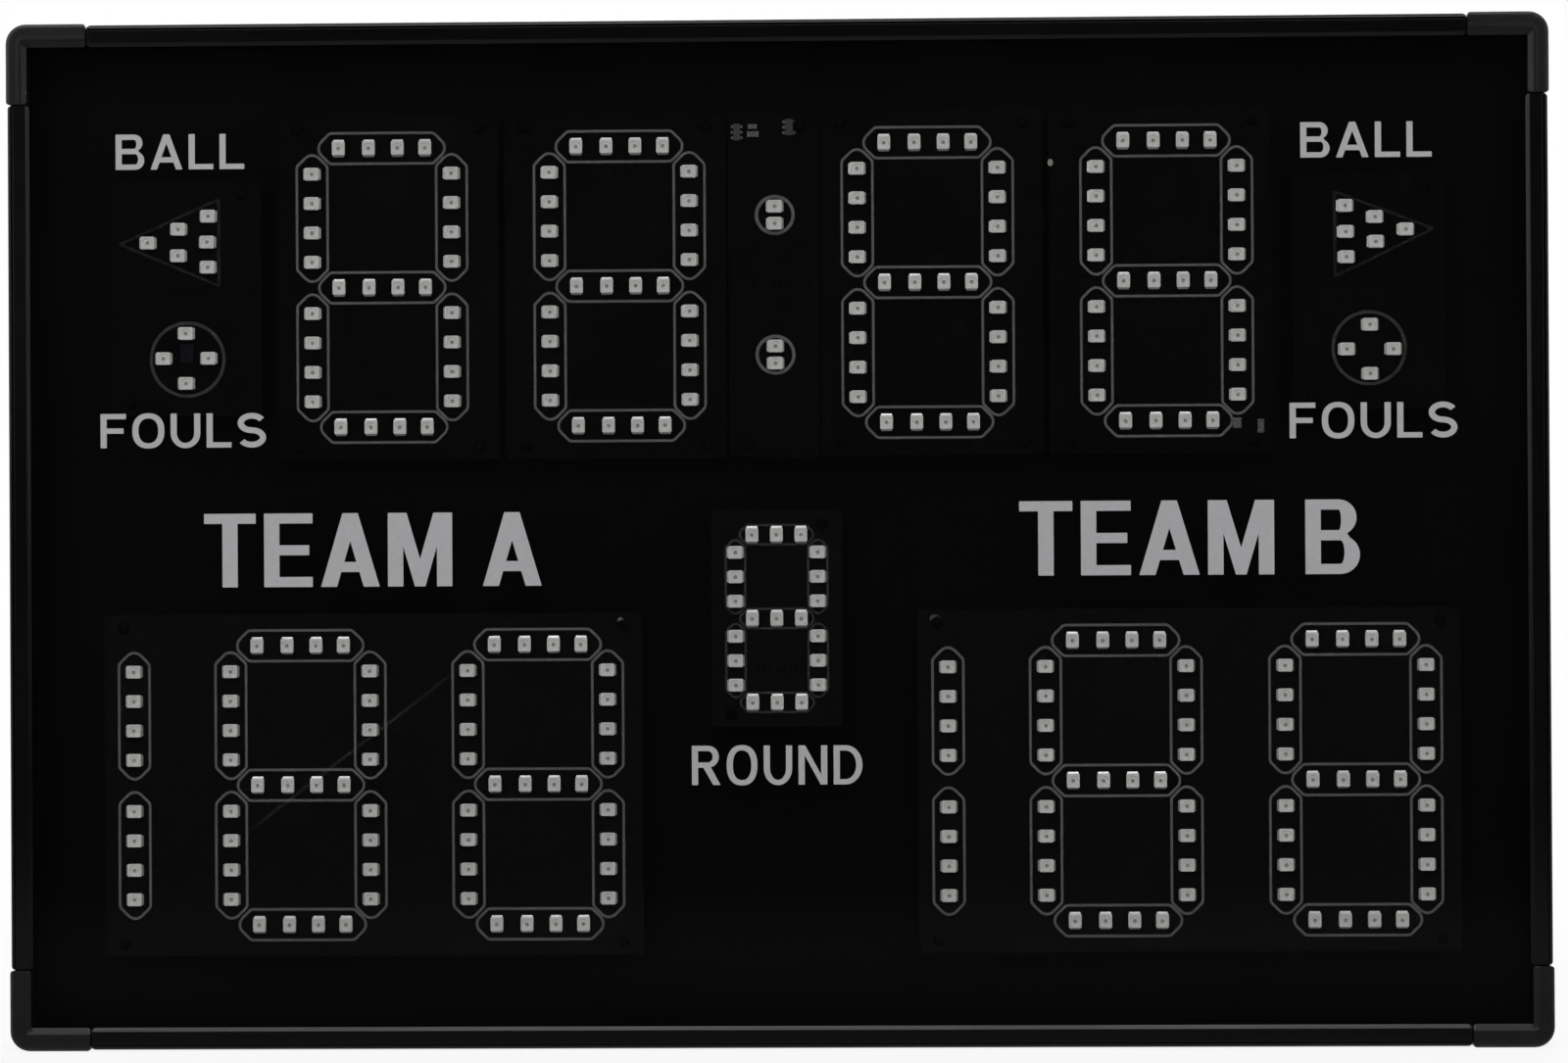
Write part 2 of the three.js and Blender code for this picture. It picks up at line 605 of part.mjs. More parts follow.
// A corner cap in local axes: outer corner at 0, 0 and legs along +X and +Z.
function cornerCap() {
  const rib = CAP_PROUD + RIB_REACH;
  const tongueIn = CAP_WALL + CLEAR;
  const tongueFront = CHANNEL_FRONT + CLEAR;
  const tongueBack = LEDGE_FRONT - CLEAR;
  const tongueEnd = CAP_LEG + TONGUE_L;
  const body = joined([
    slab(cornerShape(CAP_WALL, CAP_R - CAP_WALL), CAP_FRONT - OVERRUN, CAP_BACK + OVERRUN),
    slab(cornerShape(CAP_PROUD + RAIL_FACE, 0), CAP_FRONT - OVERRUN, LIP_BACK),
    slab(cornerShape(rib, 0), FRONT_RIB, FRONT_RIB + RIB_T),
    slab(cornerShape(rib, 0), MIDDLE_RIB, MIDDLE_RIB + RIB_T),
    slab(cornerShape(CAP_BLOCK, 0), REAR_RIB, LEDGE_BACK),
    block(CAP_LEG - EMBED, tongueEnd, tongueFront, tongueBack, tongueIn, CAP_BLOCK - EMBED),
    block(tongueIn, CAP_BLOCK - EMBED, tongueFront, tongueBack, CAP_LEG - EMBED, tongueEnd),
  ]).intersect(caseEnvelope());
  const inset = CAP_PROUD + SCREW_INSET;
  const drill = (x, z) => bar(x, z, CHANNEL_FRONT - OVERRUN, LEDGE_BACK + OVERRUN, HOLE_R);
  const drills = [drill(SCREW_ALONG, inset), drill(inset, SCREW_ALONG)];
  return cut(body, [windowBevel(), ...legNotches(), ...drills]);
}

function makeCaps() {
  const body = cornerCap();
  const places = [
    ['bottom_left_cap', -CASE_HALF_W, 0, 0],
    ['bottom_right_cap', CASE_HALF_W, 0, -Math.PI / 2],
    ['top_right_cap', CASE_HALF_W, CASE_H, Math.PI],
    ['top_left_cap', -CASE_HALF_W, CASE_H, Math.PI / 2],
  ];
  for (const [name, x, z, turn] of places) {
    const mesh = add(name, body, 'cap');
    mesh.position.set(x, 0, z);
    mesh.rotation.y = turn;
  }
}

// LED boards

function range(count) {
  return Array.from({ length: count }, (unused, index) => index);
}

// Places of the LEDs in one column bar, from its middle.
function columnBar(x, z, count, pitch) {
  return range(count).map((i) => ({ x, z: z + (i - (count - 1) / 2) * pitch, upright: false }));
}

function bigDigit(x, z) {
  const leds = [];
  for (const side of [-1, 1]) {
    for (const half of [-1, 1]) {
      const barZ = z + (half * ROW_SPACING) / 2;
      leds.push(...columnBar(x + (side * COLUMN_SPACING) / 2, barZ, LEDS_PER_COLUMN, COLUMN_PITCH));
    }
  }
  for (const row of [-1, 0, 1]) {
    const shift = row < 0 ? BOTTOM_ROW_SHIFT : 0;
    for (const share of ROW_LED_SHARES) {
      leds.push({ x: x + shift + share * COLUMN_SPACING, z: z + row * ROW_SPACING, upright: true });
    }
  }
  return leds;
}

function leadingOne(x, z) {
  return [-1, 1].flatMap((half) => (
    columnBar(x, z + (half * ROW_SPACING) / 2, LEDS_PER_COLUMN, COLUMN_PITCH)));
}

function smallDigit(x, z) {
  const leds = [];
  for (const side of [-1, 1]) {
    for (const half of [-1, 1]) {
      const barX = x + (side * SMALL_COLUMN_SPACING) / 2;
      const barZ = z + (half * SMALL_ROW_SPACING) / 2;
      leds.push(...columnBar(barX, barZ, LEDS_PER_SMALL_BAR, SMALL_LED_PITCH));
    }
  }
  for (const row of [-1, 0, 1]) {
    for (const i of range(LEDS_PER_SMALL_BAR)) {
      const offset = (i - (LEDS_PER_SMALL_BAR - 1) / 2) * SMALL_LED_PITCH;
      leds.push({ x: x + offset, z: z + row * SMALL_ROW_SPACING, upright: true });
    }
  }
  return leds;
}

function colonLeds() {
  return [-1, 1].flatMap((half) => (
    columnBar(COLON_X, TIMER_Z + (half * ROW_SPACING) / 2, LEDS_PER_DOT, COLON_LED_PITCH)));
}

// An arrow that points away from the middle, over a ring of four. Side is -1 or 1.
function markLeds(side) {
  const leds = [];
  for (const rank of range(ARROW_RANKS)) {
    const x = side * (MARK_X + ARROW_TIP_OUT - rank * ARROW_STEP_X);
    leds.push(...columnBar(x, ARROW_Z, rank + 1, ARROW_STEP_Z));
  }
  for (const [right, up] of [[1, 0], [-1, 0], [0, 1], [0, -1]]) {
    const x = side * MARK_X + right * RING_LED_R;
    leds.push({ x, z: RING_Z + up * RING_LED_R, upright: false });
  }
  return leds;
}

// Each LED board: its outline, its LEDs and where its header is.
function boardList() {
  const boards = [];
  [-1, 1].forEach((side, pair) => {
    const z = TIMER_Z + TIMER_PAIR_LIFTS[pair];
    for (const outer of [true, false]) {
      const x = INNER_DIGIT_X[pair] + (outer ? side * DIGIT_PITCH : 0);
      const shift = outer ? -side * TIMER_OUT_SHIFT : side * TIMER_IN_SHIFT;
      const number = 2 * pair + (outer === side > 0 ? 2 : 1);
      boards.push({
        name: `timer_digit_board_${number}`, x: x + shift, z, w: TIMER_PCB_W, h: TIMER_PCB_H,
        leds: bigDigit(x, z), headerX: x + shift, headerZ: TIMER_Z, allCorners: true,
      });
    }
  });
  boards.push({
    name: 'colon_board', x: COLON_X, z: TIMER_Z, w: COLON_PCB_W, h: TIMER_PCB_H,
    leds: colonLeds(), headerX: COLON_X, headerZ: TIMER_Z,
  });
  SCORE_LAST_X.forEach((lastX, index) => {
    const z = SCORE_Z + SCORE_LIFTS[index];
    const oneX = lastX - DIGIT_PITCH - ONE_PITCH;
    const left = oneX - SCORE_PAST_ONE;
    const right = lastX + COLUMN_SPACING / 2 + SCORE_PAST_DIGIT;
    boards.push({
      name: index === 0 ? 'left_score_board' : 'right_score_board',
      x: (left + right) / 2, z, w: right - left, h: SCORE_PCB_H,
      leds: [...leadingOne(oneX, z), ...bigDigit(lastX - DIGIT_PITCH, z), ...bigDigit(lastX, z)],
      headerX: (left + right) / 2, headerZ: SCORE_Z, allCorners: true,
    });
  });
  boards.push({
    name: 'small_digit_board', x: SMALL_X, z: SMALL_Z, w: SMALL_PCB_W, h: SMALL_PCB_H,
    leds: smallDigit(SMALL_X, SMALL_Z), headerX: 0, headerZ: SMALL_Z - SMALL_HEADER_DROP,
  });
  for (const side of [-1, 1]) {
    boards.push({
      name: side < 0 ? 'left_indicator_board' : 'right_indicator_board',
      x: side * MARK_X, z: (ARROW_Z + RING_Z) / 2, w: MARK_PCB_W, h: MARK_PCB_H,
      leds: markLeds(side), headerX: side * MARK_X, headerZ: TIMER_Z,
    });
  }
  return boards;
}

const BOARDS = boardList();

// Where posts hold a board: near all its corners, or near two opposite ones.
function postSpots({ x, z, w, h, allCorners }) {
  const dx = w / 2 - POST_INSET_X;
  const dz = h / 2 - POST_INSET_Z;
  const opposite = [[x - dx, z - dz], [x + dx, z + dz]];
  return allCorners ? [...opposite, [x + dx, z - dz], [x - dx, z + dz]] : opposite;
}

function ledBody({ x, z, upright }) {
  const w = upright ? LED_W : LED_L;
  const h = upright ? LED_L : LED_W;
  return blockAt(x, z, w, h, LED_FRONT, PCB_FRONT + EMBED);
}

function ledBoard(board) {
  const plate = blockAt(board.x, board.z, board.w, board.h, PCB_FRONT, PCB_BACK);
  const headerBack = PCB_BACK + HEADER_T;
  const header = blockAt(board.headerX, board.headerZ, HEADER_W, HEADER_H,
    PCB_BACK - EMBED, headerBack);
  const holes = postSpots(board).map(([x, z]) => (
    bar(x, z, PCB_FRONT - OVERRUN, PCB_BACK + OVERRUN, POST_NECK_R + CLEAR, POST_SIDES)));
  return joined([cut(plate, holes), header, ...board.leds.map(ledBody)]);
}

function makeLedBoards() {
  for (const board of BOARDS) add(board.name, ledBoard(board), 'board');
}

// Tray with snap posts

// A post that stands on the tray towards the front (way -1) or the back (way 1).
function snapPost(x, z, foot, boardNear, boardFar, way) {
  const shoulder = boardNear - way * CLEAR;
  const headStart = boardFar + way * CLEAR;
  const headEnd = headStart + way * POST_HEAD_T;
  const between = (a, b, ra, rb) => (a < b
    ? bar(x, z, a, b, ra, POST_SIDES, rb)
    : bar(x, z, b, a, rb, POST_SIDES, ra));
  return joined([
    between(foot - way * EMBED, shoulder, POST_R, POST_R),
    between(shoulder - way * EMBED, headStart + way * EMBED, POST_NECK_R, POST_NECK_R),
    between(headStart, headEnd, POST_HEAD_R, POST_TIP_R),
  ]);
}

const CONTROL = { x: CONTROL_X, z: CONTROL_Z, w: CONTROL_W, h: CONTROL_H, allCorners: true };

function makeTray() {
  const outline = roundedRectangle(-SHEET_HALF_W, SHEET_HALF_W,
    CASE_MIDDLE_Z - SHEET_HALF_H, CASE_MIDDLE_Z + SHEET_HALF_H, SHEET_R);
  const slots = BOARDS.map((board) => (
    blockAt(board.headerX, board.headerZ, SOCKET_W + 2 * SLOT_MARGIN, SOCKET_H + 2 * SLOT_MARGIN,
      TRAY_FRONT - OVERRUN, TRAY_BACK + OVERRUN)));
  const frontPosts = BOARDS.flatMap(postSpots).map(([x, z]) => (
    snapPost(x, z, TRAY_FRONT, PCB_BACK, PCB_FRONT, -1)));
  const rearPosts = postSpots(CONTROL).map(([x, z]) => (
    snapPost(x, z, TRAY_BACK, CONTROL_FRONT, CONTROL_BACK, 1)));
  const sheet = cut(slab(outline, TRAY_FRONT, TRAY_BACK), slots);
  add('display_tray', joined([sheet, ...frontPosts, ...rearPosts]), 'tray');
}

function makeFrontPanel() {
  const outline = roundedRectangle(-SHEET_HALF_W, SHEET_HALF_W,
    CASE_MIDDLE_Z - SHEET_HALF_H, CASE_MIDDLE_Z + SHEET_HALF_H, SHEET_R);
  add('front_panel', slab(outline, PANEL_FRONT, PANEL_BACK), 'panel');
}

// Harness

// A socket that reaches through the tray onto a board's header.
function socket(x, z) {
  return blockAt(x, z, SOCKET_W, SOCKET_H, PCB_BACK + HEADER_T + CLEAR, RIBBON_FRONT + EMBED);
}

function makeHarness() {
  const headerRise = CONTROL_H / 2 - SOCKET_H;
  const rowOf = (z) => BOARDS.filter((board) => board.headerZ === z).map((board) => board.headerX);
  const rows = [
    { name: 'upper_harness', z: TIMER_Z, end: CONTROL_Z + headerRise - HEADER_H, extra: [] },
    {
      name: 'lower_harness', z: SCORE_Z, end: CONTROL_Z - headerRise + HEADER_H,
      extra: [[0, SMALL_Z - SMALL_HEADER_DROP]],
    },
  ];
  for (const { name, z, end, extra } of rows) {
    const sockets = [...rowOf(z).map((x) => [x, z]), ...extra];
    const left = Math.min(...rowOf(z)) - SOCKET_W / 2 - RIBBON_PAST_SOCKET;
    const right = Math.max(...rowOf(z)) + SOCKET_W / 2 + RIBBON_PAST_SOCKET;
    const branch = [Math.min(z, end), Math.max(z, end)];
    add(name, joined([
      block(left, right, RIBBON_FRONT, RIBBON_BACK, z - RIBBON_W / 2, z + RIBBON_W / 2),
      block(-RIBBON_W / 2, RIBBON_W / 2, RIBBON_FRONT, RIBBON_BACK, branch[0], branch[1]),
      ...sockets.map(([x, socketZ]) => socket(x, socketZ)),
    ]), 'ribbon');
  }
}

// Control board

function makeControlBoard() {
  const holes = postSpots(CONTROL).map(([x, z]) => (
    bar(x, z, CONTROL_FRONT - OVERRUN, CONTROL_BACK + OVERRUN, POST_NECK_R + CLEAR, POST_SIDES)));
  const plate = blockAt(CONTROL_X, CONTROL_Z, CONTROL_W, CONTROL_H, CONTROL_FRONT, CONTROL_BACK);
  const onBack = (x, z, w, h, t) => blockAt(x, z, w, h, CONTROL_BACK - EMBED, CONTROL_BACK + t);
  const headers = [1, -1].map((side) => (
    blockAt(CONTROL_X, CONTROL_Z + side * (CONTROL_H / 2 - SOCKET_H), HEADER_W, HEADER_H,
      RIBBON_BACK + CLEAR, CONTROL_FRONT + EMBED)));
  const capacitors = CAPACITOR_SHARES.map((share) => (
    bar(CONTROL_X + share * CONTROL_W, CONTROL_Z, CONTROL_BACK - EMBED, CONTROL_BACK + CAPACITOR_T,
      CAPACITOR_R)));
  const terminals = [-1, 1].map((side) => (
    onBack(CONTROL_X + (side * (CONTROL_W - TERMINAL_W)) / 2, CONTROL_Z - TERMINAL_DROP,
      TERMINAL_W, TERMINAL_H, TERMINAL_T)));
  const chip = onBack(CONTROL_X + CHIP_X, CONTROL_Z - CHIP_DROP, CHIP_SIDE, CHIP_SIDE, CHIP_T);
  const body = joined([cut(plate, holes), ...headers, ...capacitors, ...terminals, chip]);
  add('control_board', body, 'board');
}

function makeReceiver() {
  const z = CONTROL_Z + CONTROL_H / 2 - RECEIVER_DROP;
  const headerFront = CONTROL_BACK + CLEAR;
  const front = headerFront + RECEIVER_HEADER_T;
  const back = front + RECEIVER_T;
  add('receiver_module', joined([
    blockAt(CONTROL_X, z, RECEIVER_W, RECEIVER_H, front, back),
    blockAt(CONTROL_X, z, RECEIVER_HEADER_W, RECEIVER_HEADER_H, headerFront, front + EMBED),
    blockAt(CONTROL_X, z, RECEIVER_CAN_SIDE, RECEIVER_CAN_SIDE, back - EMBED, back + RECEIVER_CAN_T),
  ]), 'board');
  const wire = new THREE.CylinderGeometry(AERIAL_R, AERIAL_R, AERIAL_L, AERIAL_SIDES);
  wire.rotateZ(Math.PI / 2);
  const middle = CONTROL_X + RECEIVER_W / 2 + CLEAR + AERIAL_L / 2;
  wire.translate(middle, (front + back) / 2, z);
  add('aerial_wire', solid(wire), 'steel');
}

// Horn

function hornScrewSpots() {
  return [[-1, -1], [1, -1], [-1, 1], [1, 1]].map(([right, up]) => (
    [HORN_X + right * HORN_SCREW_X, HORN_Z + up * HORN_SCREW_X]));
}

const HORN_BACK = COVER_FRONT - CLEAR;
const HORN_PLATE_FRONT = HORN_BACK - HORN_PLATE_T;
const BASKET_FRONT = HORN_PLATE_FRONT - HORN_BASKET_T;

function makeHorn() {
  const plate = cut(blockAt(HORN_X, HORN_Z, HORN_SIDE, HORN_SIDE, HORN_PLATE_FRONT, HORN_BACK), [
    bar(HORN_X, HORN_Z, HORN_PLATE_FRONT - OVERRUN, HORN_BACK + OVERRUN, HORN_MOUTH_R, HORN_SIDES),
    ...hornScrewSpots().map(([x, z]) => (
      bar(x, z, HORN_PLATE_FRONT - OVERRUN, HORN_BACK + OVERRUN, HOLE_R))),
  ]);
  const basket = turned([
    [0, BASKET_FRONT], [HORN_THROAT_R, BASKET_FRONT],
    [HORN_MOUTH_R + HORN_WALL, HORN_PLATE_FRONT - HORN_WALL],
    [HORN_MOUTH_R + HORN_WALL, HORN_PLATE_FRONT + EMBED],
    [HORN_MOUTH_R, HORN_PLATE_FRONT + EMBED],
    [HORN_MOUTH_R, HORN_PLATE_FRONT - HORN_WALL],
    [HORN_THROAT_R, BASKET_FRONT + HORN_WALL], [0, BASKET_FRONT + HORN_WALL],
  ], HORN_SIDES).translate([HORN_X, 0, HORN_Z]);
  const tagMiddle = HORN_PLATE_FRONT - HORN_BASKET_T / 2;
  const tag = block(HORN_X + HORN_THROAT_R + HORN_WALL, HORN_X + HORN_TAG_OUT,
    tagMiddle - HORN_WALL / 2, tagMiddle + HORN_WALL / 2,
    HORN_Z - HORN_TAG_W / 2, HORN_Z + HORN_TAG_W / 2);
  const inside = turned([
    [0, BASKET_FRONT + HORN_WALL], [HORN_THROAT_R, BASKET_FRONT + HORN_WALL],
    [HORN_MOUTH_R, HORN_PLATE_FRONT - HORN_WALL], [HORN_MOUTH_R, HORN_BACK], [0, HORN_BACK],
  ], HORN_SIDES).translate([HORN_X, 0, HORN_Z]);
  add('horn_frame', joined([plate, basket, cut(tag, [inside])]), 'plastic');

  const rimY = HORN_PLATE_FRONT - CLEAR;
  const rimR = HORN_MOUTH_R - CLEAR;
  const throatY = rimY - CONE_DEPTH;
  add('horn_cone', turned([
    [0, throatY], [CONE_THROAT_R, throatY], [rimR - HORN_WALL, rimY - CONE_T], [rimR, rimY - CONE_T],
    [rimR, rimY], [rimR - HORN_WALL, rimY], [CONE_THROAT_R, throatY + CONE_T], [0, throatY + CONE_T],
  ], HORN_SIDES).translate([HORN_X, 0, HORN_Z]), 'cone');

  const magnetBack = BASKET_FRONT - CLEAR;
  add('horn_magnet', bar(HORN_X, HORN_Z, magnetBack - MAGNET_T, magnetBack, MAGNET_R, HORN_SIDES),
    'steel');
}

// Rear cover, its screws and the hanger plates

function coverScrewSpots() {
  const edge = CAP_PROUD + SCREW_INSET;
  const spots = [];
  for (const side of [-1, 1]) {
    for (const up of [-1, 1]) {
      const cornerX = side * (CASE_HALF_W - SCREW_ALONG);
      const cornerZ = CASE_MIDDLE_Z + up * (CASE_MIDDLE_Z - SCREW_ALONG);
      spots.push([cornerX, CASE_MIDDLE_Z + up * (CASE_MIDDLE_Z - edge)]);
      spots.push([side * (CASE_HALF_W - edge), cornerZ]);
    }
  }
  spots.push([0, edge], [0, CASE_H - edge]);
  return spots;
}

function grilleSpots() {
  const spots = [[HORN_X, HORN_Z]];
  for (const ring of range(GRILLE_RINGS)) {
    const count = GRILLE_HOLES_PER_RING * (ring + 1);
    for (const i of range(count)) {
      const angle = (2 * Math.PI * i) / count;
      const r = GRILLE_RING * (ring + 1);
      spots.push([HORN_X + r * Math.cos(angle), HORN_Z + r * Math.sin(angle)]);
    }
  }
  return spots;
}

function hangerScrewSpots(side) {
  return [-1, 1].map((way) => [side * HANGER_X + way * HANGER_SCREW_X, HANGER_Z]);
}

// The keyhole's outline, or a wider one for the window behind it.
function keyholeWindow(side, y0, y1) {
  const x = side * HANGER_X;
  const mouth = HANGER_Z - KEYHOLE_DROP;
  const half = KEYHOLE_R + KEYHOLE_MARGIN;
  return block(x - half, x + half, y0, y1, mouth - half, mouth + KEYHOLE_RISE + KEYHOLE_MARGIN);
}

function keyhole(side, y0, y1) {
  const x = side * HANGER_X;
  const mouth = HANGER_Z - KEYHOLE_DROP;
  const slotR = KEYHOLE_SLOT_W / 2;
  const top = mouth + KEYHOLE_RISE - slotR;
  return joined([
    bar(x, mouth, y0, y1, KEYHOLE_R, TURNED_SIDES),
    block(x - slotR, x + slotR, y0, y1, mouth, top),
    bar(x, top, y0, y1, slotR, TURNED_SIDES),
  ]);
}

function makeRearCover() {
  const outline = roundedRectangle(-COVER_HALF_W, COVER_HALF_W,
    CASE_MIDDLE_Z - COVER_HALF_H, CASE_MIDDLE_Z + COVER_HALF_H, COVER_R);
  const through = [COVER_FRONT - OVERRUN, COVER_BACK + OVERRUN];
  const screwSpots = [...coverScrewSpots(), ...hornScrewSpots(),
    ...hangerScrewSpots(-1), ...hangerScrewSpots(1)];
  const cutters = [
    ...screwSpots.map(([x, z]) => bar(x, z, ...through, HOLE_R)),
    ...grilleSpots().map(([x, z]) => bar(x, z, ...through, GRILLE_HOLE_R, GRILLE_SIDES)),
    keyholeWindow(-1, ...through),
    keyholeWindow(1, ...through),
  ];
  add('rear_cover', cut(slab(outline, COVER_FRONT, COVER_BACK), cutters), 'cover');
}

// A pan-head screw whose head lies on a face, with its shank towards the front.
function panScrew(x, z, face, length) {
  return joined([
    bar(x, z, face + SEAT, face + SEAT + SCREW_HEAD_T, SCREW_HEAD_R, SCREW_SIDES,
      SCREW_HEAD_R - SCREW_HEAD_T / 2),
    bar(x, z, face + SEAT - length, face + SEAT + EMBED, SCREW_R),
  ]);
}

function makeCoverScrews() {
  coverScrewSpots().forEach(([x, z], index) => {
    const length = x === 0 ? SMALL_SCREW_L : COVER_SCREW_L;
    add(`cover_screw_${index + 1}`, panScrew(x, z, COVER_BACK, length), 'blackScrew');
  });
  hornScrewSpots().forEach(([x, z], index) => {
    add(`horn_screw_${index + 1}`, panScrew(x, z, COVER_BACK, SMALL_SCREW_L), 'blackScrew');
  });
}

function makeHangers() {
  const front = COVER_BACK + SEAT;
  const back = front + HANGER_T;
  for (const side of [-1, 1]) {
    const word = side < 0 ? 'left' : 'right';
    const x = side * HANGER_X;
    const outline = roundedRectangle(x - HANGER_W / 2, x + HANGER_W / 2,
      HANGER_Z - HANGER_H / 2, HANGER_Z + HANGER_H / 2, HANGER_CORNER_R);
    const sinks = hangerScrewSpots(side).map(([sinkX, z]) => (
      bar(sinkX, z, front, back, HOLE_R, SCREW_SIDES, SINK_HEAD_R + CLEAR)));
    const plate = cut(slab(outline, front, back), [
      keyhole(side, front - OVERRUN, back + OVERRUN), ...sinks,
    ]);
    add(`${word}_hanger_plate`, plate, 'steel');
    hangerScrewSpots(side).forEach(([screwX, z], index) => {
      add(`${word}_hanger_screw_${index + 1}`, joined([
        bar(screwX, z, front, back, SCREW_R, SCREW_SIDES, SINK_HEAD_R),
        bar(screwX, z, back - SMALL_SCREW_L, front + EMBED, SCREW_R),
      ]), 'steel');
    });
  }
}

// Side controls, drawn with the rail's outer face at Y = 0 and outwards along +Y,
// then turned so that +Y looks out along +X.

function sideGroup(z) {
  const group = new THREE.Group();
  group.position.set(RAIL_OUT_X, CHANNEL_MIDDLE, z);
  group.rotation.z = -Math.PI / 2;
  scoreboard.add(group);
  return group;
}

function makeInlet() {
  const group = sideGroup(INLET_Z);
  const face = CLEAR + FLANGE_T;
  const floor = face - INLET_BORE_L;
  add('dc_inlet', turned([
    [0, -INLET_L], [INLET_NECK_R, -INLET_L], [INLET_NECK_R, CLEAR], [INLET_FLANGE_R, CLEAR],
    [INLET_FLANGE_R, face], [INLET_BORE_R, face], [INLET_BORE_R, floor], [INLET_PIN_R, floor],
    [INLET_PIN_R, floor + INLET_PIN_L], [0, floor + INLET_PIN_L],
  ], TURNED_SIDES), 'plastic', group);
  const nutBack = -RAIL_WALL - CLEAR;
  const nut = cut(bar(0, 0, nutBack - NUT_T, nutBack, NUT_R, NUT_SIDES), [
    bar(0, 0, nutBack - NUT_T - OVERRUN, nutBack + OVERRUN, INLET_NECK_R + CLEAR, TURNED_SIDES),
  ]);
  add('inlet_nut', nut, 'steel', group);
}

function makeSwitch() {
  const group = sideGroup(SWITCH_Z);
  const face = CLEAR + FLANGE_T;
  const well = blockAt(0, 0, SWITCH_WELL_W, SWITCH_WELL_H, face - SWITCH_WELL_L, face + OVERRUN);
  const pin = (halfL, r) => {
    const geometry = new THREE.CylinderGeometry(r, r, 2 * halfL, ROCKER_SIDES);
    geometry.rotateZ(Math.PI / 2);
    geometry.translate(0, -ROCKER_PIVOT, 0);
    return solid(geometry);
  };
  const pinHalf = SWITCH_WELL_W / 2 + ROCKER_AXLE_BITE;
  const housing = cut(joined([
    blockAt(0, 0, SWITCH_BEZEL_W, SWITCH_BEZEL_H, CLEAR, face),
    blockAt(0, 0, SWITCH_BODY_W, SWITCH_BODY_H, -SWITCH_BODY_L, CLEAR + EMBED),
  ]), [well, pin(SWITCH_BODY_W / 2 + OVERRUN, ROCKER_AXLE_HOLE_R)]);
  add('switch_housing', housing, 'plastic', group);

  // The rocker is drawn level about its pivot, then tilted so that its lower end is pressed in.
  const tilt = new THREE.Group();
  tilt.position.set(0, -ROCKER_PIVOT, 0);
  tilt.rotation.x = -THREE.MathUtils.degToRad(ROCKER_TILT);
  group.add(tilt);
  const high = ROCKER_PIVOT + ROCKER_RISE;
  const side = polygon([
    [ROCKER_HALF_L, high], [0, high - ROCKER_DIP], [-ROCKER_HALF_L, high],
    [-ROCKER_HALF_L, 0], [-ROCKER_HALF_L / 2, -ROCKER_KEEL],
    [ROCKER_HALF_L / 2, -ROCKER_KEEL], [ROCKER_HALF_L, 0],
  ]);
  const width = SWITCH_WELL_W - 2 * CLEAR;
  const geometry = new THREE.ExtrudeGeometry(side, { depth: width, bevelEnabled: false });
  geometry.translate(0, 0, -width / 2);
  geometry.rotateY(-Math.PI / 2);
  const axle = new THREE.CylinderGeometry(ROCKER_AXLE_R, ROCKER_AXLE_R, 2 * pinHalf, ROCKER_SIDES);
  axle.rotateZ(Math.PI / 2);
  add('power_rocker', joined([solid(geometry), solid(axle)]), 'plastic', tilt);
}

function makeButton() {
  const group = sideGroup(BUTTON_Z);
  const face = CLEAR + FLANGE_T;
  const step = -BUTTON_MOUTH_L;
  const floor = step - BUTTON_CHAMBER_L;
  add('button_housing', turned([
    [0, -BUTTON_L], [BUTTON_NECK_R, -BUTTON_L], [BUTTON_NECK_R, CLEAR], [BUTTON_FLANGE_R, CLEAR],
    [BUTTON_FLANGE_R, face], [BUTTON_MOUTH_R, face], [BUTTON_MOUTH_R, step],
    [BUTTON_CHAMBER_R, step], [BUTTON_CHAMBER_R, floor], [0, floor],
  ], TURNED_SIDES), 'plastic', group);
  const collar = step - CLEAR;
  add('pairing_button', turned([
    [0, collar - BUTTON_COLLAR_T], [BUTTON_COLLAR_R, collar - BUTTON_COLLAR_T],
    [BUTTON_COLLAR_R, collar], [BUTTON_R, collar], [BUTTON_R, BUTTON_PROUD - BUTTON_DOME],
    [BUTTON_R - BUTTON_DOME, BUTTON_PROUD], [0, BUTTON_PROUD],
  ], TURNED_SIDES), 'plastic', group);
}

// Leads inside the case

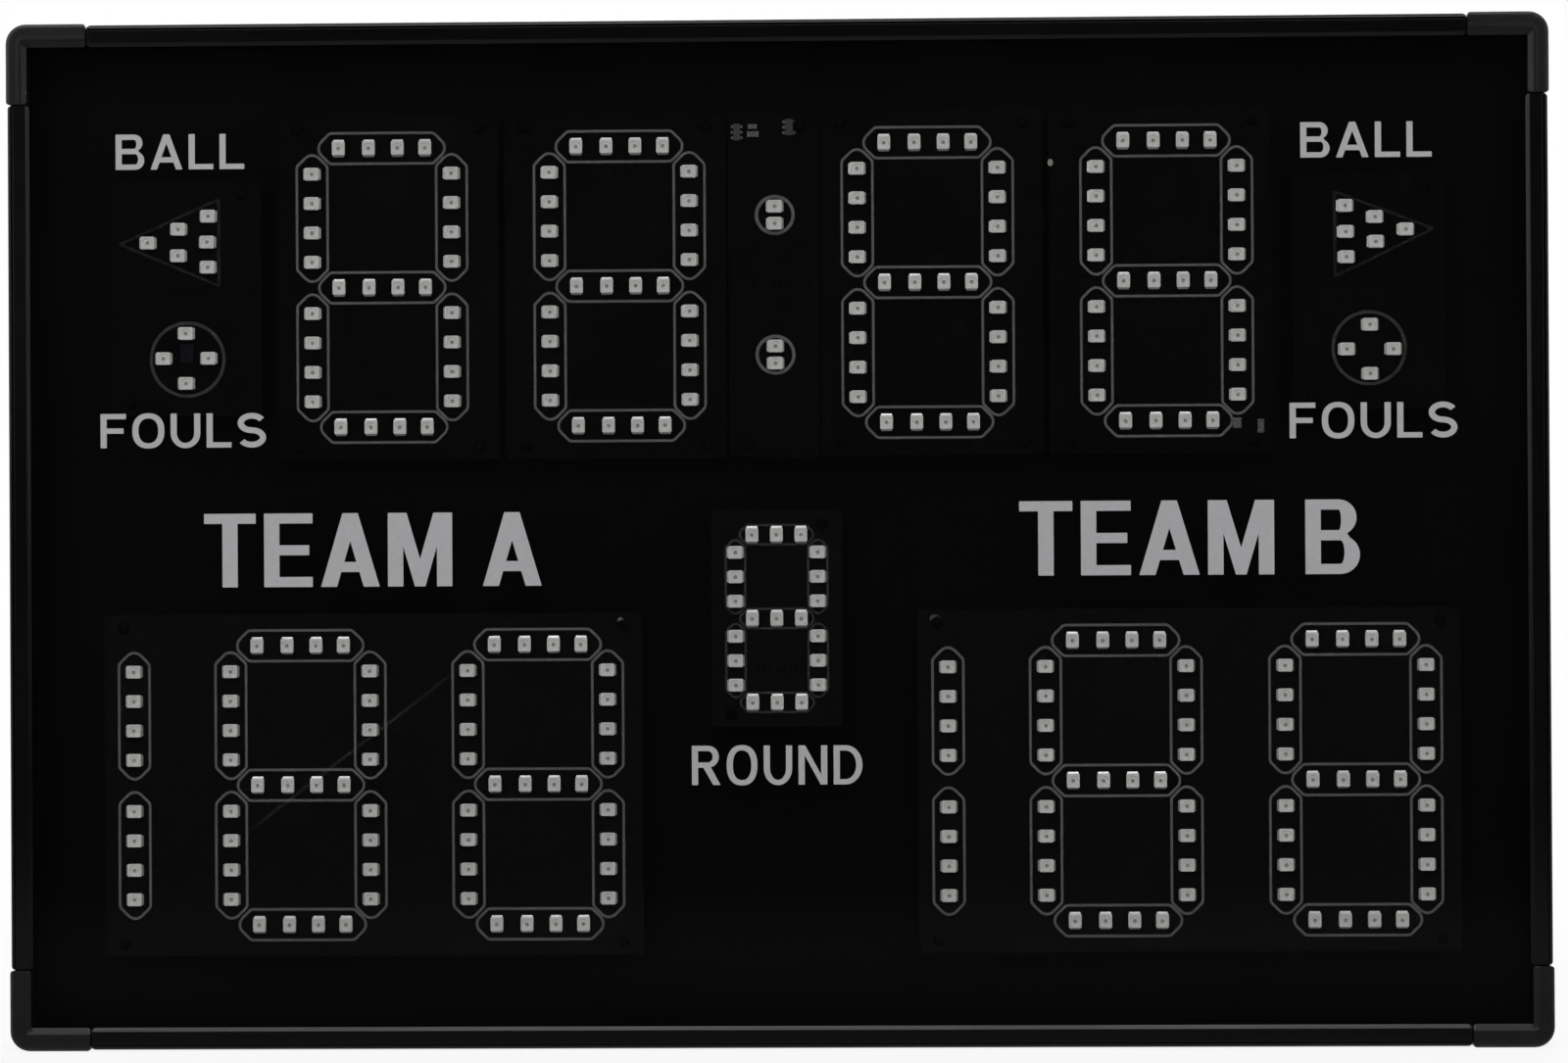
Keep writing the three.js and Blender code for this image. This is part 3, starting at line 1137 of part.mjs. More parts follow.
function makeLeads() {
  const y = CHANNEL_MIDDLE;
  const inletEnd = RAIL_OUT_X - INLET_L - CLEAR;
  const switchEnd = RAIL_OUT_X - SWITCH_BODY_L - CLEAR;
  const low = SWITCH_Z - LEAD_SPREAD;
  const high = SWITCH_Z + LEAD_SPREAD;
  const bulge = switchEnd - INLET_LEAD_BULGE;
  add('inlet_lead', lead([
    [inletEnd, y, INLET_Z], [inletEnd - 2 * LEAD_R, y, INLET_Z],
    [bulge, y, INLET_Z + (low - INLET_Z) / 3], [bulge, y, low - (low - INLET_Z) / 3],
    [switchEnd - 2 * LEAD_R, y, low], [switchEnd, y, low],
  ]), 'lead');

  const terminalX = CONTROL_X + CONTROL_W / 2 + CLEAR;
  const terminalY = CONTROL_BACK + TERMINAL_T / 2;
  const terminalZ = CONTROL_Z - TERMINAL_DROP;
  const between = SUPPLY_RUN_SHARES.map((run, i) => [
    switchEnd + run * (terminalX - switchEnd), terminalY,
    high + SUPPLY_RISE_SHARES[i] * (terminalZ - high),
  ]);
  add('supply_lead', lead([
    [switchEnd, y, high], [switchEnd - 2 * LEAD_R, y, high], ...between,
    [terminalX + 2 * LEAD_R, terminalY, terminalZ], [terminalX, terminalY, terminalZ],
  ]), 'lead');

  const hornX = HORN_X + HORN_TAG_OUT + CLEAR;
  const hornY = HORN_PLATE_FRONT - HORN_BASKET_T / 2;
  const leftX = CONTROL_X - CONTROL_W / 2 - CLEAR;
  add('horn_lead', lead([
    [leftX, terminalY, terminalZ], [leftX - 2 * LEAD_R, terminalY, terminalZ],
    [(leftX + hornX) / 2, (terminalY + hornY) / 2, HORN_Z - HORN_LEAD_SAG],
    [hornX + 2 * LEAD_R, hornY, HORN_Z], [hornX, hornY, HORN_Z],
  ]), 'lead');
}

makeRails();
makeCaps();
makeFrontPanel();
makeTray();
makeLedBoards();
makeHarness();
makeControlBoard();
makeReceiver();
makeHorn();
makeRearCover();
makeCoverScrews();
makeHangers();
makeInlet();
makeSwitch();
makeButton();
makeLeads();

export default scoreboard;
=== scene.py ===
"""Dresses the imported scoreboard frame: detailed pieces, procedural finishes, and a plain stage."""

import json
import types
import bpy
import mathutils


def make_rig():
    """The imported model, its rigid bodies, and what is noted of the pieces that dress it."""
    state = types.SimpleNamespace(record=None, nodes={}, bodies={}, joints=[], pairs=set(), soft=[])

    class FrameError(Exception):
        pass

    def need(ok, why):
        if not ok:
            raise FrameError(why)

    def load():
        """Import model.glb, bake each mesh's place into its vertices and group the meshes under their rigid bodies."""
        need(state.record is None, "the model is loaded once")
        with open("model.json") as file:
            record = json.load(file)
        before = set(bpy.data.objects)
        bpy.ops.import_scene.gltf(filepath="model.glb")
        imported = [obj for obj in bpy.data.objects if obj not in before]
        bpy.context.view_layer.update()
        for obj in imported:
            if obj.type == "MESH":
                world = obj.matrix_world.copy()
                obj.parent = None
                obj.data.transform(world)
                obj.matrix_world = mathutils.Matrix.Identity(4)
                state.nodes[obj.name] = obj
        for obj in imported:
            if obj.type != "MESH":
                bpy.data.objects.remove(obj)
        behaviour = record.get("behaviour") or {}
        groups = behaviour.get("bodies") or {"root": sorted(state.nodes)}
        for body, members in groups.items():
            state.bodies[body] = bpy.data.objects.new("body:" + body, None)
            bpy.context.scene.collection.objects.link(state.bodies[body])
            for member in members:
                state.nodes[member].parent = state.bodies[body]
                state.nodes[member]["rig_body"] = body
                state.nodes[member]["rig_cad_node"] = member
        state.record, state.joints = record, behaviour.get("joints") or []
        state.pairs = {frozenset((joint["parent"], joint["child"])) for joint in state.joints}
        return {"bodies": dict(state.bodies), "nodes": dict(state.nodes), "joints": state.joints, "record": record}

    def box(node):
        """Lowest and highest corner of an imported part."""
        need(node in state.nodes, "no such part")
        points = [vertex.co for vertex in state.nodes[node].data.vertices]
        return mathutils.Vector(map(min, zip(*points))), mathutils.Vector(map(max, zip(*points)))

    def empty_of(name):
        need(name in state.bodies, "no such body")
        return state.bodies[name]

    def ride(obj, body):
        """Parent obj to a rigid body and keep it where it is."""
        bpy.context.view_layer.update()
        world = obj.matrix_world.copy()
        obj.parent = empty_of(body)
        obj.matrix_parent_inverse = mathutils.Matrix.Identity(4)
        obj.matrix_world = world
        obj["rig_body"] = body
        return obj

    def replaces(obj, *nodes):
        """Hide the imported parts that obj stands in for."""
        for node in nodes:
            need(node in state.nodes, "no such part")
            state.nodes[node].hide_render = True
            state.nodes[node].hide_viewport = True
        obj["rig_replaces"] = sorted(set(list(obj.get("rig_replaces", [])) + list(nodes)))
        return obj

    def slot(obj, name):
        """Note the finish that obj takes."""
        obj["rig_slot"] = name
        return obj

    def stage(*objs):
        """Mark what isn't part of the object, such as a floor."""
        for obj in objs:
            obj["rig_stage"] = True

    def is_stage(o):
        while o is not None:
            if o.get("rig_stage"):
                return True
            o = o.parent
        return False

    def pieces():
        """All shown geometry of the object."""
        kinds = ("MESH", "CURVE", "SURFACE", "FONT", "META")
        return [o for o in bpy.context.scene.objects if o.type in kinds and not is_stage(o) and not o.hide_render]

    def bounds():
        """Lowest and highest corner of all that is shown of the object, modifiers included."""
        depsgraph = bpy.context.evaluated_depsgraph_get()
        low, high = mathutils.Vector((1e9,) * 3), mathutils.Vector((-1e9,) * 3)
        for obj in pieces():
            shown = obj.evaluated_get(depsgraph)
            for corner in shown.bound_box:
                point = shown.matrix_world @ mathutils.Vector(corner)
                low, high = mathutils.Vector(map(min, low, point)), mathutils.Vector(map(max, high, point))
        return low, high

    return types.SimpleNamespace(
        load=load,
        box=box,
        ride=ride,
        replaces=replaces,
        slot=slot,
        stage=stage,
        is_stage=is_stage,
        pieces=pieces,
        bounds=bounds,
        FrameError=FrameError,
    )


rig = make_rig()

bl_info = {
    "name": "Scoreboard dressing",
    "version": (1, 0, 0),
    "blender": (4, 5, 0),
    "location": "3D View > Sidebar > Scoreboard",
    "description": "Builds the scoreboard's detailed pieces and finishes around its packed frame",
    "category": "Object",
}

import json
import math

import bmesh
import bpy
import numpy as np
from mathutils import Matrix, Vector

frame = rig.load()
CAD_BOX = [list(corner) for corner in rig.bounds()]
SIZE_FILE = "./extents.json"

# Lengths are in millimetres, in the frame's own axes. What Blender keeps, such as properties,
# materials, meshes and the stage, is in metres.
MM = 0.001
BODY = "scoreboard"
ROCKER_BODY = "rocker"
BUTTON_BODY = "button"


def node_box(name):
    """A CAD node's lowest and highest corners in millimetres."""
    low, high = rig.box(name)
    return np.array(low) / MM, np.array(high) / MM


def node_middle(name):
    """The X and Z of a CAD node's middle in millimetres."""
    low, high = node_box(name)
    return (low[0] + high[0]) / 2, (low[2] + high[2]) / 2


def node_depths(name):
    """A CAD node's front and back in millimetres."""
    low, high = node_box(name)
    return low[1], high[1]


# Places taken from the frame
PANEL_FRONT = node_depths("front_panel")[0]
CASE_LOW, CASE_HIGH = node_box("bottom_left_cap")[0], node_box("top_right_cap")[1]
CASE_HALF_W = CASE_HIGH[0]
CASE_H = CASE_HIGH[2]
RAIL_OUT = node_box("top_rail")[1][2]
RAIL_OUT_X = node_box("right_rail")[1][0]
RAIL_FRONT, RAIL_BACK = node_depths("top_rail")
CAP_FRONT, CAP_BACK = CASE_LOW[1], CASE_HIGH[1]

# Depths of the ribs inside the frame, from the front to the back
LIP_BACK = RAIL_FRONT + 1.4
RIB_FRONTS = (-14.5, -7.1, -3.3)
RIB_T = 1.2
LEDGE_FRONT, LEDGE_BACK = 14.5, 16.2

# The right rail's controls: the depth of their axes, their heights, and the holes that they sit in
SIDE_MIDDLE_Y = sum(node_depths("dc_inlet")) / 2
INLET_Z, SWITCH_Z, BUTTON_Z = (
    node_middle(node)[1] for node in ("dc_inlet", "switch_housing", "button_housing"))
ROUND_HOLE_R = 5.5
SWITCH_HOLE = (12.0, 19.2, 0.6)

# Digit boards
PCB_FRONT, PCB_BACK = -12.2, -10.6
PRINT_BACK, PRINT_T = PCB_FRONT + 0.02, 0.05
LED_FRONT = -13.8
LED_L, LED_W = 5.6, 5.0
COLUMN_SPACING, ROW_SPACING = 55.6, 55.5
COLUMN_PITCH = 11.7
ROW_SHARES = (-0.308, -0.092, 0.115, 0.312)
BOTTOM_ROW_SHIFT = 0.45
SMALL_COLUMNS, SMALL_ROWS, SMALL_PITCH = 32.7, 33.3, 9.7
# A small segment's width, length and tip, and the widths of lines as shares of the usual one
SMALL_SEGMENT = (8.5, 32.2, 4.2)
THIN_LINE, RING_LINE = 0.8, 1.3
POST_HOLE_R = 2.1
POST_INSET = (7.8, 5.2)
HEADER = (20.0, 5.0, 3.6)
HEADER_PINS, PIN_PITCH, PIN_ROW = 7, 2.54, 0.9
TIMER_Z, TIMER_Z_RIGHT = 302.5, 303.1
SCORE_Z, SCORE_Z_RIGHT = 104.7, 105.2
SMALL_MIDDLE = (-0.1, 170.0)
SMALL_HEADER = (0.0, 150.0)
COLON_PRINT_X, COLON_PRINT_R = -0.05, 7.95
# The side boards: the arrow's six LEDs, its printed triangle, the ring's middle with its LEDs'
# reach along X and Z, and the printed circle's middle and radius
MARKS = {
    "left": {
        "arrow": ((-249.9, 320.9), (-237.6, 326.3), (-237.8, 315.7), (-225.7, 331.4),
                  (-226.1, 321.1), (-225.9, 311.1)),
        "triangle": ((-262.4, 320.5), (-221.0, 302.9), (-221.0, 339.0)),
        "ring": (-234.8, 274.8, 9.0, 9.95), "circle": (-234.3, 274.4, 15.2)},
    "right": {
        "arrow": ((249.4, 322.7), (237.3, 327.7), (237.6, 317.9), (225.5, 332.2),
                  (225.8, 321.9), (226.0, 311.9)),
        "triangle": ((261.6, 323.0), (220.9, 338.6), (220.9, 303.4)),
        "ring": (235.1, 275.4, 9.15, 9.7), "circle": (234.8, 275.9, 14.9)},
}
TIMER_DIGITS = ((-156.4, TIMER_Z), (-61.8, TIMER_Z), (60.5, TIMER_Z_RIGHT), (155.1, TIMER_Z_RIGHT))
SCORES = (
    (-256.3, (-189.9, -95.3), SCORE_Z),
    (67.6, (134.0, 228.6), SCORE_Z_RIGHT),
)


# Sizes and colours


def length(name, text, default):
    """A length in metres, shown in the scene's units."""
    return bpy.props.FloatProperty(
        name=name, description=text, default=default * MM, unit="LENGTH", subtype="DISTANCE",
        min=0.0, precision=5)


def colour(name, text, default):
    """A linear colour."""
    return bpy.props.FloatVectorProperty(
        name=name, description=text, default=default, size=3, subtype="COLOR", min=0.0, max=1.0)


def share(name, text, default):
    """A plain number from 0 to 1."""
    return bpy.props.FloatProperty(
        name=name, description=text, default=default, subtype="FACTOR", min=0.0, max=1.0)


class ScoreboardSizes(bpy.types.PropertyGroup):
    """Sizes of the visible detail."""

    rail_round: length("Rail rounding", "Radius along the rails' outer edges", 1.5)
    cap_round: length("Cap rounding", "Radius along the caps' outer edges", 1.5)
    cap_groove: length("Cap groove", "Depth of the shallow channel along a cap's front", 0.06)
    outline_w: length("Outline width", "Width of the printed lines round the segments", 1.0)
    segment_w: length("Segment width", "Width of a printed segment outline", 13.2)
    segment_l: length("Segment length", "Length of a printed segment outline", 55.0)
    segment_tip: length("Segment tip", "Length of a segment outline's pointed end", 6.7)
    led_recess: length("LED recess", "Depth of the round recess in an LED package", 0.35)
    print_t: length("Print thickness", "Thickness of the ink on the panel", 0.06)


class ScoreboardColours(bpy.types.PropertyGroup):
    """Colours of the finishes, linear."""

    anodised: colour("Anodised rails", "Black anodised aluminium", (0.0013, 0.0013, 0.0014))
    cap: colour("Caps", "Dark grey moulded plastic", (0.0056, 0.0056, 0.0058))
    panel: colour("Panel", "Smoked clear sheet", (0.0028, 0.0028, 0.0029))
    panel_alpha: share("Panel opacity", "How much of the light each face of the panel stops", 0.15)
    tray: colour("Tray", "Black tray behind the boards", (0.0012, 0.0012, 0.0013))
    mask: colour("Solder mask", "Black solder mask of the LED boards", (0.002, 0.002, 0.0021))
    outline: colour("Outlines", "Printed lines on the boards", (0.125, 0.125, 0.125))
    legend: colour("Legends", "Grey ink of the panel's words", (0.33, 0.33, 0.34))
    led: colour("LED housing", "White LED packages", (0.66, 0.66, 0.65))
    lens: colour("LED lens", "Clear resin over an LED's chips", (0.68, 0.68, 0.66))
    cover: colour("Rear cover", "Black powder coat", (0.012, 0.012, 0.0125))
    zinc: colour("Zinc", "Zinc plated steel", (0.62, 0.63, 0.64))


# Surfaces


def surface(points, faces, finish, edge=0.0):
    """One closed surface: points in millimetres, faces, its finish, and how much of the edge tone, wear and painted
    highlight, each point takes.
    """
    points = np.asarray(points, float).reshape(-1, 3)
    edges = np.broadcast_to(np.asarray(edge, float).reshape(-1), (len(points),))
    return {"points": points, "faces": faces, "finish": finish, "edge": edges}


def grid_faces(rows, columns):
    """Quads of a grid whose columns close on themselves, and one face over each end."""
    row = np.arange(rows - 1)[:, None] * columns
    here = np.arange(columns)[None, :]
    there = (here + 1) % columns
    quads = np.stack([row + here, row + there, row + columns + there, row + columns + here], -1)
    faces = quads.reshape(-1, 4).tolist()
    faces.append(list(range(columns - 1, -1, -1)))
    faces.append(list(range((rows - 1) * columns, rows * columns)))
    return faces


def ring_faces(rows, columns):
    """Quads of a grid that closes on itself both ways."""
    row = np.arange(rows)[:, None]
    column = np.arange(columns)[None, :]
    below, beside = (row + 1) % rows, (column + 1) % columns
    quads = np.stack([row * columns + column, row * columns + beside,
                      below * columns + beside, below * columns + column], -1)
    return quads.reshape(-1, 4).tolist()


def rounded(points, radii, steps=4, guard=0.0):
    """A closed outline with round corners. At each corner, points on the circle that touches
    both sides: the centre lies on the bisector at radius over the sine of half the angle. A
    guard adds one point on each side just before and after the arc, which keeps the smooth
    shading of the arc off the flat beside it."""
    points = np.asarray(points, float)
    radii = np.broadcast_to(np.asarray(radii, float), (len(points),))
    back = np.roll(points, 1, axis=0) - points
    ahead = np.roll(points, -1, axis=0) - points
    reach = np.linalg.norm(ahead, axis=1)
    back /= np.linalg.norm(back, axis=1, keepdims=True)
    ahead /= reach[:, None]
    half = np.arccos(np.clip((back * ahead).sum(1), -1, 1)) / 2
    bisector = back + ahead
    norm = np.linalg.norm(bisector, axis=1, keepdims=True)
    bisector = np.where(norm > 1e-9, bisector / np.maximum(norm, 1e-9), 0)
    centre = points + bisector * (radii / np.sin(half))[:, None]
    first = points + back * (radii / np.tan(half))[:, None] - centre
    last = points + ahead * (radii / np.tan(half))[:, None] - centre
    part = np.linspace(0, 1, steps + 1)[None, :, None]
    swing = (np.pi - 2 * half)[:, None, None]
    safe = np.maximum(np.sin(swing), 1e-9)
    arc = (np.sin((1 - part) * swing) * first[:, None] + np.sin(part * swing) * last[:, None]) / safe
    count = steps + 1
    if guard > 0:
        used = radii / np.tan(half)
        spare = np.maximum(reach - used - np.roll(used, -1), 0)
        after = np.minimum(guard, spare * 0.3)[:, None]
        before = np.roll(after, 1, axis=0)
        arc = np.concatenate([(first + back * before)[:, None], arc, (last + ahead * after)[:, None]],
                             axis=1)
        count += 2
    outline = (centre[:, None] + arc).reshape(-1, 2)
    plain = np.repeat(radii < 1e-6, count)
    outline[plain] = np.repeat(points, count, axis=0)[plain]
    keep = np.linalg.norm(outline - np.roll(outline, 1, axis=0), axis=1) > 1e-4
    return outline[keep]


def box_outline(width, height, radius, steps=3):
    """A rounded rectangle round its own middle, anticlockwise."""
    x, z = width / 2, height / 2
    return rounded([(-x, -z), (x, -z), (x, z), (-x, z)], radius, steps)


def node_outline(name, radius, steps):
    """A rounded rectangle that fills a CAD node's width and height."""
    low, high = node_box(name)
    return box_outline(high[0] - low[0], high[2] - low[2], radius, steps) + node_middle(name)


def circle(radius, sides, start=0.0):
    """Points on a circle round the origin."""
    angle = start + np.linspace(0, 2 * np.pi, sides, endpoint=False)
    return np.stack([radius * np.cos(angle), radius * np.sin(angle)], -1)


def upright(outline, x, z, y):
    """Puts a flat outline at a depth: its two coordinates become X and Z."""
    return np.stack([x + outline[:, 0], np.full(len(outline), y), z + outline[:, 1]], -1)


def sideways(outline, z, out):
    """Puts a flat outline on the right rail: its two coordinates become Y and Z."""
    return np.stack([np.full(len(outline), RAIL_OUT_X + out), SIDE_MIDDLE_Y + outline[:, 0],
                     z + outline[:, 1]], -1)


def stack(rings, finish, edge=0.0):
    """A closed solid through a stack of outlines with equal counts, closed at both ends."""
    points = np.stack(rings)
    return surface(points, grid_faces(*points.shape[:2]), finish, edge)


def soft_block(x, z, width, height, y0, y1, finish, radius=0.4, edge=0.2):
    """A block with rounded corners whose front and back edges are chamfered."""
    inner = box_outline(width - 2 * edge, height - 2 * edge, max(radius - edge, 0.05), 2)
    outer = box_outline(width, height, radius, 2)
    return stack([upright(inner, x, z, y0), upright(outer, x, z, y0 + edge),
                  upright(outer, x, z, y1 - edge), upright(inner, x, z, y1)], finish)


def turned_front(profile, sides, x, z, finish):
    """A profile of radius and depth, turned about an axis along Y."""
    return stack([upright(circle(r, sides), x, z, y) for r, y in profile], finish)


PINHOLE_R = 0.001


def turned_side(profile, sides, z, finish):
    """A profile of radius and reach, turned about an axis that stands out of the right rail. A
    radius of 0 becomes a pinhole, which closes when doubles are welded."""
    rings = [sideways(circle(max(r, PINHOLE_R), sides), z, out) for r, out in profile]
    return stack(rings, finish)


def flat_mesh(curve):
    """A flat curve or text as points and faces: made a mesh, then stood up to face the front."""
    holder = bpy.data.objects.new("flat", curve)
    bpy.context.scene.collection.objects.link(holder)
    graph = bpy.context.evaluated_depsgraph_get()
    mesh = bpy.data.meshes.new_from_object(holder.evaluated_get(graph))
    points = np.empty(len(mesh.vertices) * 3)
    mesh.vertices.foreach_get("co", points)
    faces = [list(polygon.vertices) for polygon in mesh.polygons]
    bpy.data.objects.remove(holder)
    bpy.data.meshes.remove(mesh)
    bpy.data.curves.remove(curve)
    x, z, depth = points.reshape(-1, 3).T
    return np.stack([x, -depth, z], -1), faces


def plate(outline, holes, y0, y1, finish, bevel=0.0):
    """A flat outline with holes, filled and given its thickness between two depths. The curve is
    drawn smaller by its bevel, which brings the finished edge back to the outline."""
    curve = bpy.data.curves.new("plate", "CURVE")
    curve.dimensions = "2D"
    curve.fill_mode = "BOTH"
    for loop in [outline, *holes]:
        spline = curve.splines.new("POLY")
        spline.points.add(len(loop) - 1)
        flat = np.zeros((len(loop), 4))
        flat[:, :2] = loop
        flat[:, 3] = 1
        spline.points.foreach_set("co", flat.ravel())
        spline.use_cyclic_u = True
    curve.extrude = (y1 - y0) / 2 - bevel
    curve.bevel_depth = bevel
    curve.bevel_resolution = 1
    curve.offset = -bevel
    points, faces = flat_mesh(curve)
    points[:, 1] += (y0 + y1) / 2
    return surface(points, faces, finish)


def strip(outer, inner, x, z, finish):
    """A printed band between two outlines on a board."""
    front = PRINT_BACK - PRINT_T
    points = np.stack([upright(outer, x, z, PRINT_BACK), upright(outer, x, z, front),
                       upright(inner, x, z, front), upright(inner, x, z, PRINT_BACK)])
    return surface(points, ring_faces(4, len(outer)), finish)


def finish_mesh(mesh, weld, crease):
    """Welds doubles, drops faces without area, and turns every face outwards."""
    work = bmesh.new()
    work.from_mesh(mesh)
    bmesh.ops.remove_doubles(work, verts=work.verts, dist=weld * MM)
    bmesh.ops.dissolve_degenerate(work, edges=work.edges, dist=weld * MM / 2)
    bmesh.ops.recalc_face_normals(work, faces=work.faces)
    work.to_mesh(mesh)
    work.free()
    mesh.shade_smooth()
    mesh.set_sharp_from_angle(angle=math.radians(crease))


def build_piece(name, surfaces, slot, nodes=(), body=BODY, weld=0.004, crease=32.0):
    """Joins surfaces into one mesh object, which rides on a body and stands for CAD nodes."""
    points = np.concatenate([s["points"] for s in surfaces]) * MM
    edges = np.concatenate([s["edge"] for s in surfaces])
    finishes = list(dict.fromkeys(s["finish"] for s in surfaces))
    faces, picks, start = [], [], 0
    for s in surfaces:
        faces += [[index + start for index in face] for face in s["faces"]]
        picks += [finishes.index(s["finish"])] * len(s["faces"])
        start += len(s["points"])
    mesh = bpy.data.meshes.new(name)
    mesh.from_pydata(points, [], faces)
    for finish in finishes:
        mesh.materials.append(get_finish(finish))
    mesh.polygons.foreach_set("material_index", np.array(picks, np.int32))
    # The edge attribute carries the edge tone: partly wear, partly a painted highlight.
    mesh.attributes.new("edge", "FLOAT", "POINT").data.foreach_set("value", edges.astype(np.float32))
    finish_mesh(mesh, weld, crease)
    mesh.validate()
    piece = bpy.data.objects.new(name, mesh)
    bpy.context.scene.collection.objects.link(piece)
    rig.ride(piece, body)
    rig.slot(piece, slot)
    if nodes:
        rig.replaces(piece, *nodes)
    return piece


# Shared effects


class Graph:
    """A node tree with one short call for a node, its settings and its links."""

    def __init__(self, tree):
        self.tree = tree
        tree.nodes.clear()

    def add(self, kind, inputs=None, **settings):
        """A node with its settings. An input that is a socket is linked, and others are set."""
        node = self.tree.nodes.new(kind)
        for key, value in settings.items():
            setattr(node, key, value)
        for key, value in (inputs or {}).items():
            if isinstance(value, bpy.types.NodeSocket):
                self.tree.links.new(value, node.inputs[key])
            else:
                node.inputs[key].default_value = value
        return node

    def math(self, operation, first, second=0.0, clamp=False):
        """One step of arithmetic on two values."""
        return self.add("ShaderNodeMath", {0: first, 1: second},
                        operation=operation, use_clamp=clamp).outputs[0]

    def mix(self, factor, first, second):
        """A colour between two colours."""
        node = self.add("ShaderNodeMix", {0: factor, 6: first, 7: second}, data_type="RGBA")
        return node.outputs[2]

    def spread(self, value, low, high, new_low, new_high):
        """A value moved from one range to another and held inside it."""
        node = self.add("ShaderNodeMapRange", {
            "Value": value, "From Min": low, "From Max": high,
            "To Min": new_low, "To Max": new_high})
        return node.outputs[0]

    def noise(self, vector, scale, detail=3.0, rough=0.55):
        """A soft noise from 0 to 1."""
        return self.add("ShaderNodeTexNoise", {
            "Vector": vector, "Scale": scale, "Detail": detail, "Roughness": rough}).outputs["Fac"]


def effect_group(name, inputs, outputs):
    """An empty effect group with named sockets. Inputs give a kind and a default."""
    tree = bpy.data.node_groups.new(name, "ShaderNodeTree")
    for label, (kind, default) in inputs.items():
        socket = tree.interface.new_socket(label, in_out="INPUT", socket_type=kind)
        if default is not None:
            socket.default_value = default
    for label in outputs:
        tree.interface.new_socket(label, in_out="OUTPUT", socket_type="NodeSocketFloat")
    graph = Graph(tree)
    return graph, graph.add("NodeGroupInput").outputs, graph.add("NodeGroupOutput")


FLOAT, VECTOR = "NodeSocketFloat", "NodeSocketVector"


def grain_group():
    """Fine moulded or blasted grain: two noises at one size and a third of it."""
    graph, given, out = effect_group(
        "Fine grain", {"Vector": (VECTOR, None), "Scale": (FLOAT, 800.0)}, ["Value"])
    coarse = graph.noise(given["Vector"], given["Scale"], 2.0)
    fine = graph.noise(given["Vector"], graph.math("MULTIPLY", given["Scale"], 3.1), 1.0)
    total = graph.math("ADD", graph.math("MULTIPLY", coarse, 0.65),
                       graph.math("MULTIPLY", fine, 0.35))
    graph.tree.links.new(graph.spread(total, 0.3, 0.7, 0.0, 1.0), out.inputs["Value"])
    return graph.tree


def drawn_group():
    """Long fine lines that a die or a brush leaves: noise stretched by a vector."""
    graph, given, out = effect_group("Drawn lines", {
        "Vector": (VECTOR, None), "Stretch": (VECTOR, (4.0, 900.0, 900.0))}, ["Value"])
    along = graph.add("ShaderNodeVectorMath", {0: given["Vector"], 1: given["Stretch"]},
                      operation="MULTIPLY").outputs[0]
    value = graph.noise(along, 1.0, 4.0, 0.65)
    graph.tree.links.new(graph.spread(value, 0.3, 0.7, 0.0, 1.0), out.inputs["Value"])
    return graph.tree


def smudge_group():
    """Broad patches where a hand or a cloth has been."""
    graph, given, out = effect_group("Smudges", {
        "Vector": (VECTOR, None), "Scale": (FLOAT, 12.0)}, ["Value"])
    patch = graph.noise(given["Vector"], given["Scale"], 3.0, 0.5)
    graph.tree.links.new(graph.spread(patch, 0.38, 0.66, 0.0, 1.0), out.inputs["Value"])
    return graph.tree


def dust_group():
    """Specks of dust: the middles of small cells, kept only where a broad noise is high."""
    graph, given, out = effect_group("Dust", {
        "Vector": (VECTOR, None), "Scale": (FLOAT, 260.0), "Cover": (FLOAT, 0.5)}, ["Mask"])
    cells = graph.add("ShaderNodeTexVoronoi", {
        "Vector": given["Vector"], "Scale": given["Scale"]}).outputs["Distance"]
    specks = graph.spread(cells, 0.05, 0.16, 1.0, 0.0)
    where = graph.noise(given["Vector"], 55.0, 2.0)
    level = graph.math("SUBTRACT", 0.86, graph.math("MULTIPLY", given["Cover"], 0.4))
    kept = graph.math("MULTIPLY", graph.math("SUBTRACT", where, level), 9.0, clamp=True)
    graph.tree.links.new(graph.math("MULTIPLY", specks, kept, clamp=True), out.inputs["Mask"])
    return graph.tree


def wear_and_sheen_group():
    """Rubbed edges and a painted highlight on them: the piece's own edge attribute, broken up by noise."""
    graph, given, out = effect_group("Edge wear", {
        "Vector": (VECTOR, None), "Edge": (FLOAT, 0.0), "Amount": (FLOAT, 0.5)}, ["Mask"])
    broken = graph.noise(given["Vector"], 160.0, 4.0, 0.7)
    level = graph.math("MULTIPLY", given["Edge"], given["Amount"])
    mask = graph.math("MULTIPLY", graph.spread(broken, 0.35, 0.75, 0.0, 1.6), level, clamp=True)
    graph.tree.links.new(mask, out.inputs["Mask"])
    return graph.tree


EFFECTS = {"grain": grain_group, "drawn": drawn_group, "smudge": smudge_group,
           "dust": dust_group, "wear": wear_and_sheen_group}
effects = {}


def place_effect(graph, name, inputs):
    """Places a shared effect group, which is built at its first use, and gives its output."""
    if name not in effects:
        effects[name] = EFFECTS[name]()
    return graph.add("ShaderNodeGroup", inputs, node_tree=effects[name]).outputs[0]


# Finishes

DUST_COLOUR = (0.3, 0.29, 0.28, 1.0)
finishes = {}


def rgba(values):
    """A colour with full opacity."""
    return (*values, 1.0)


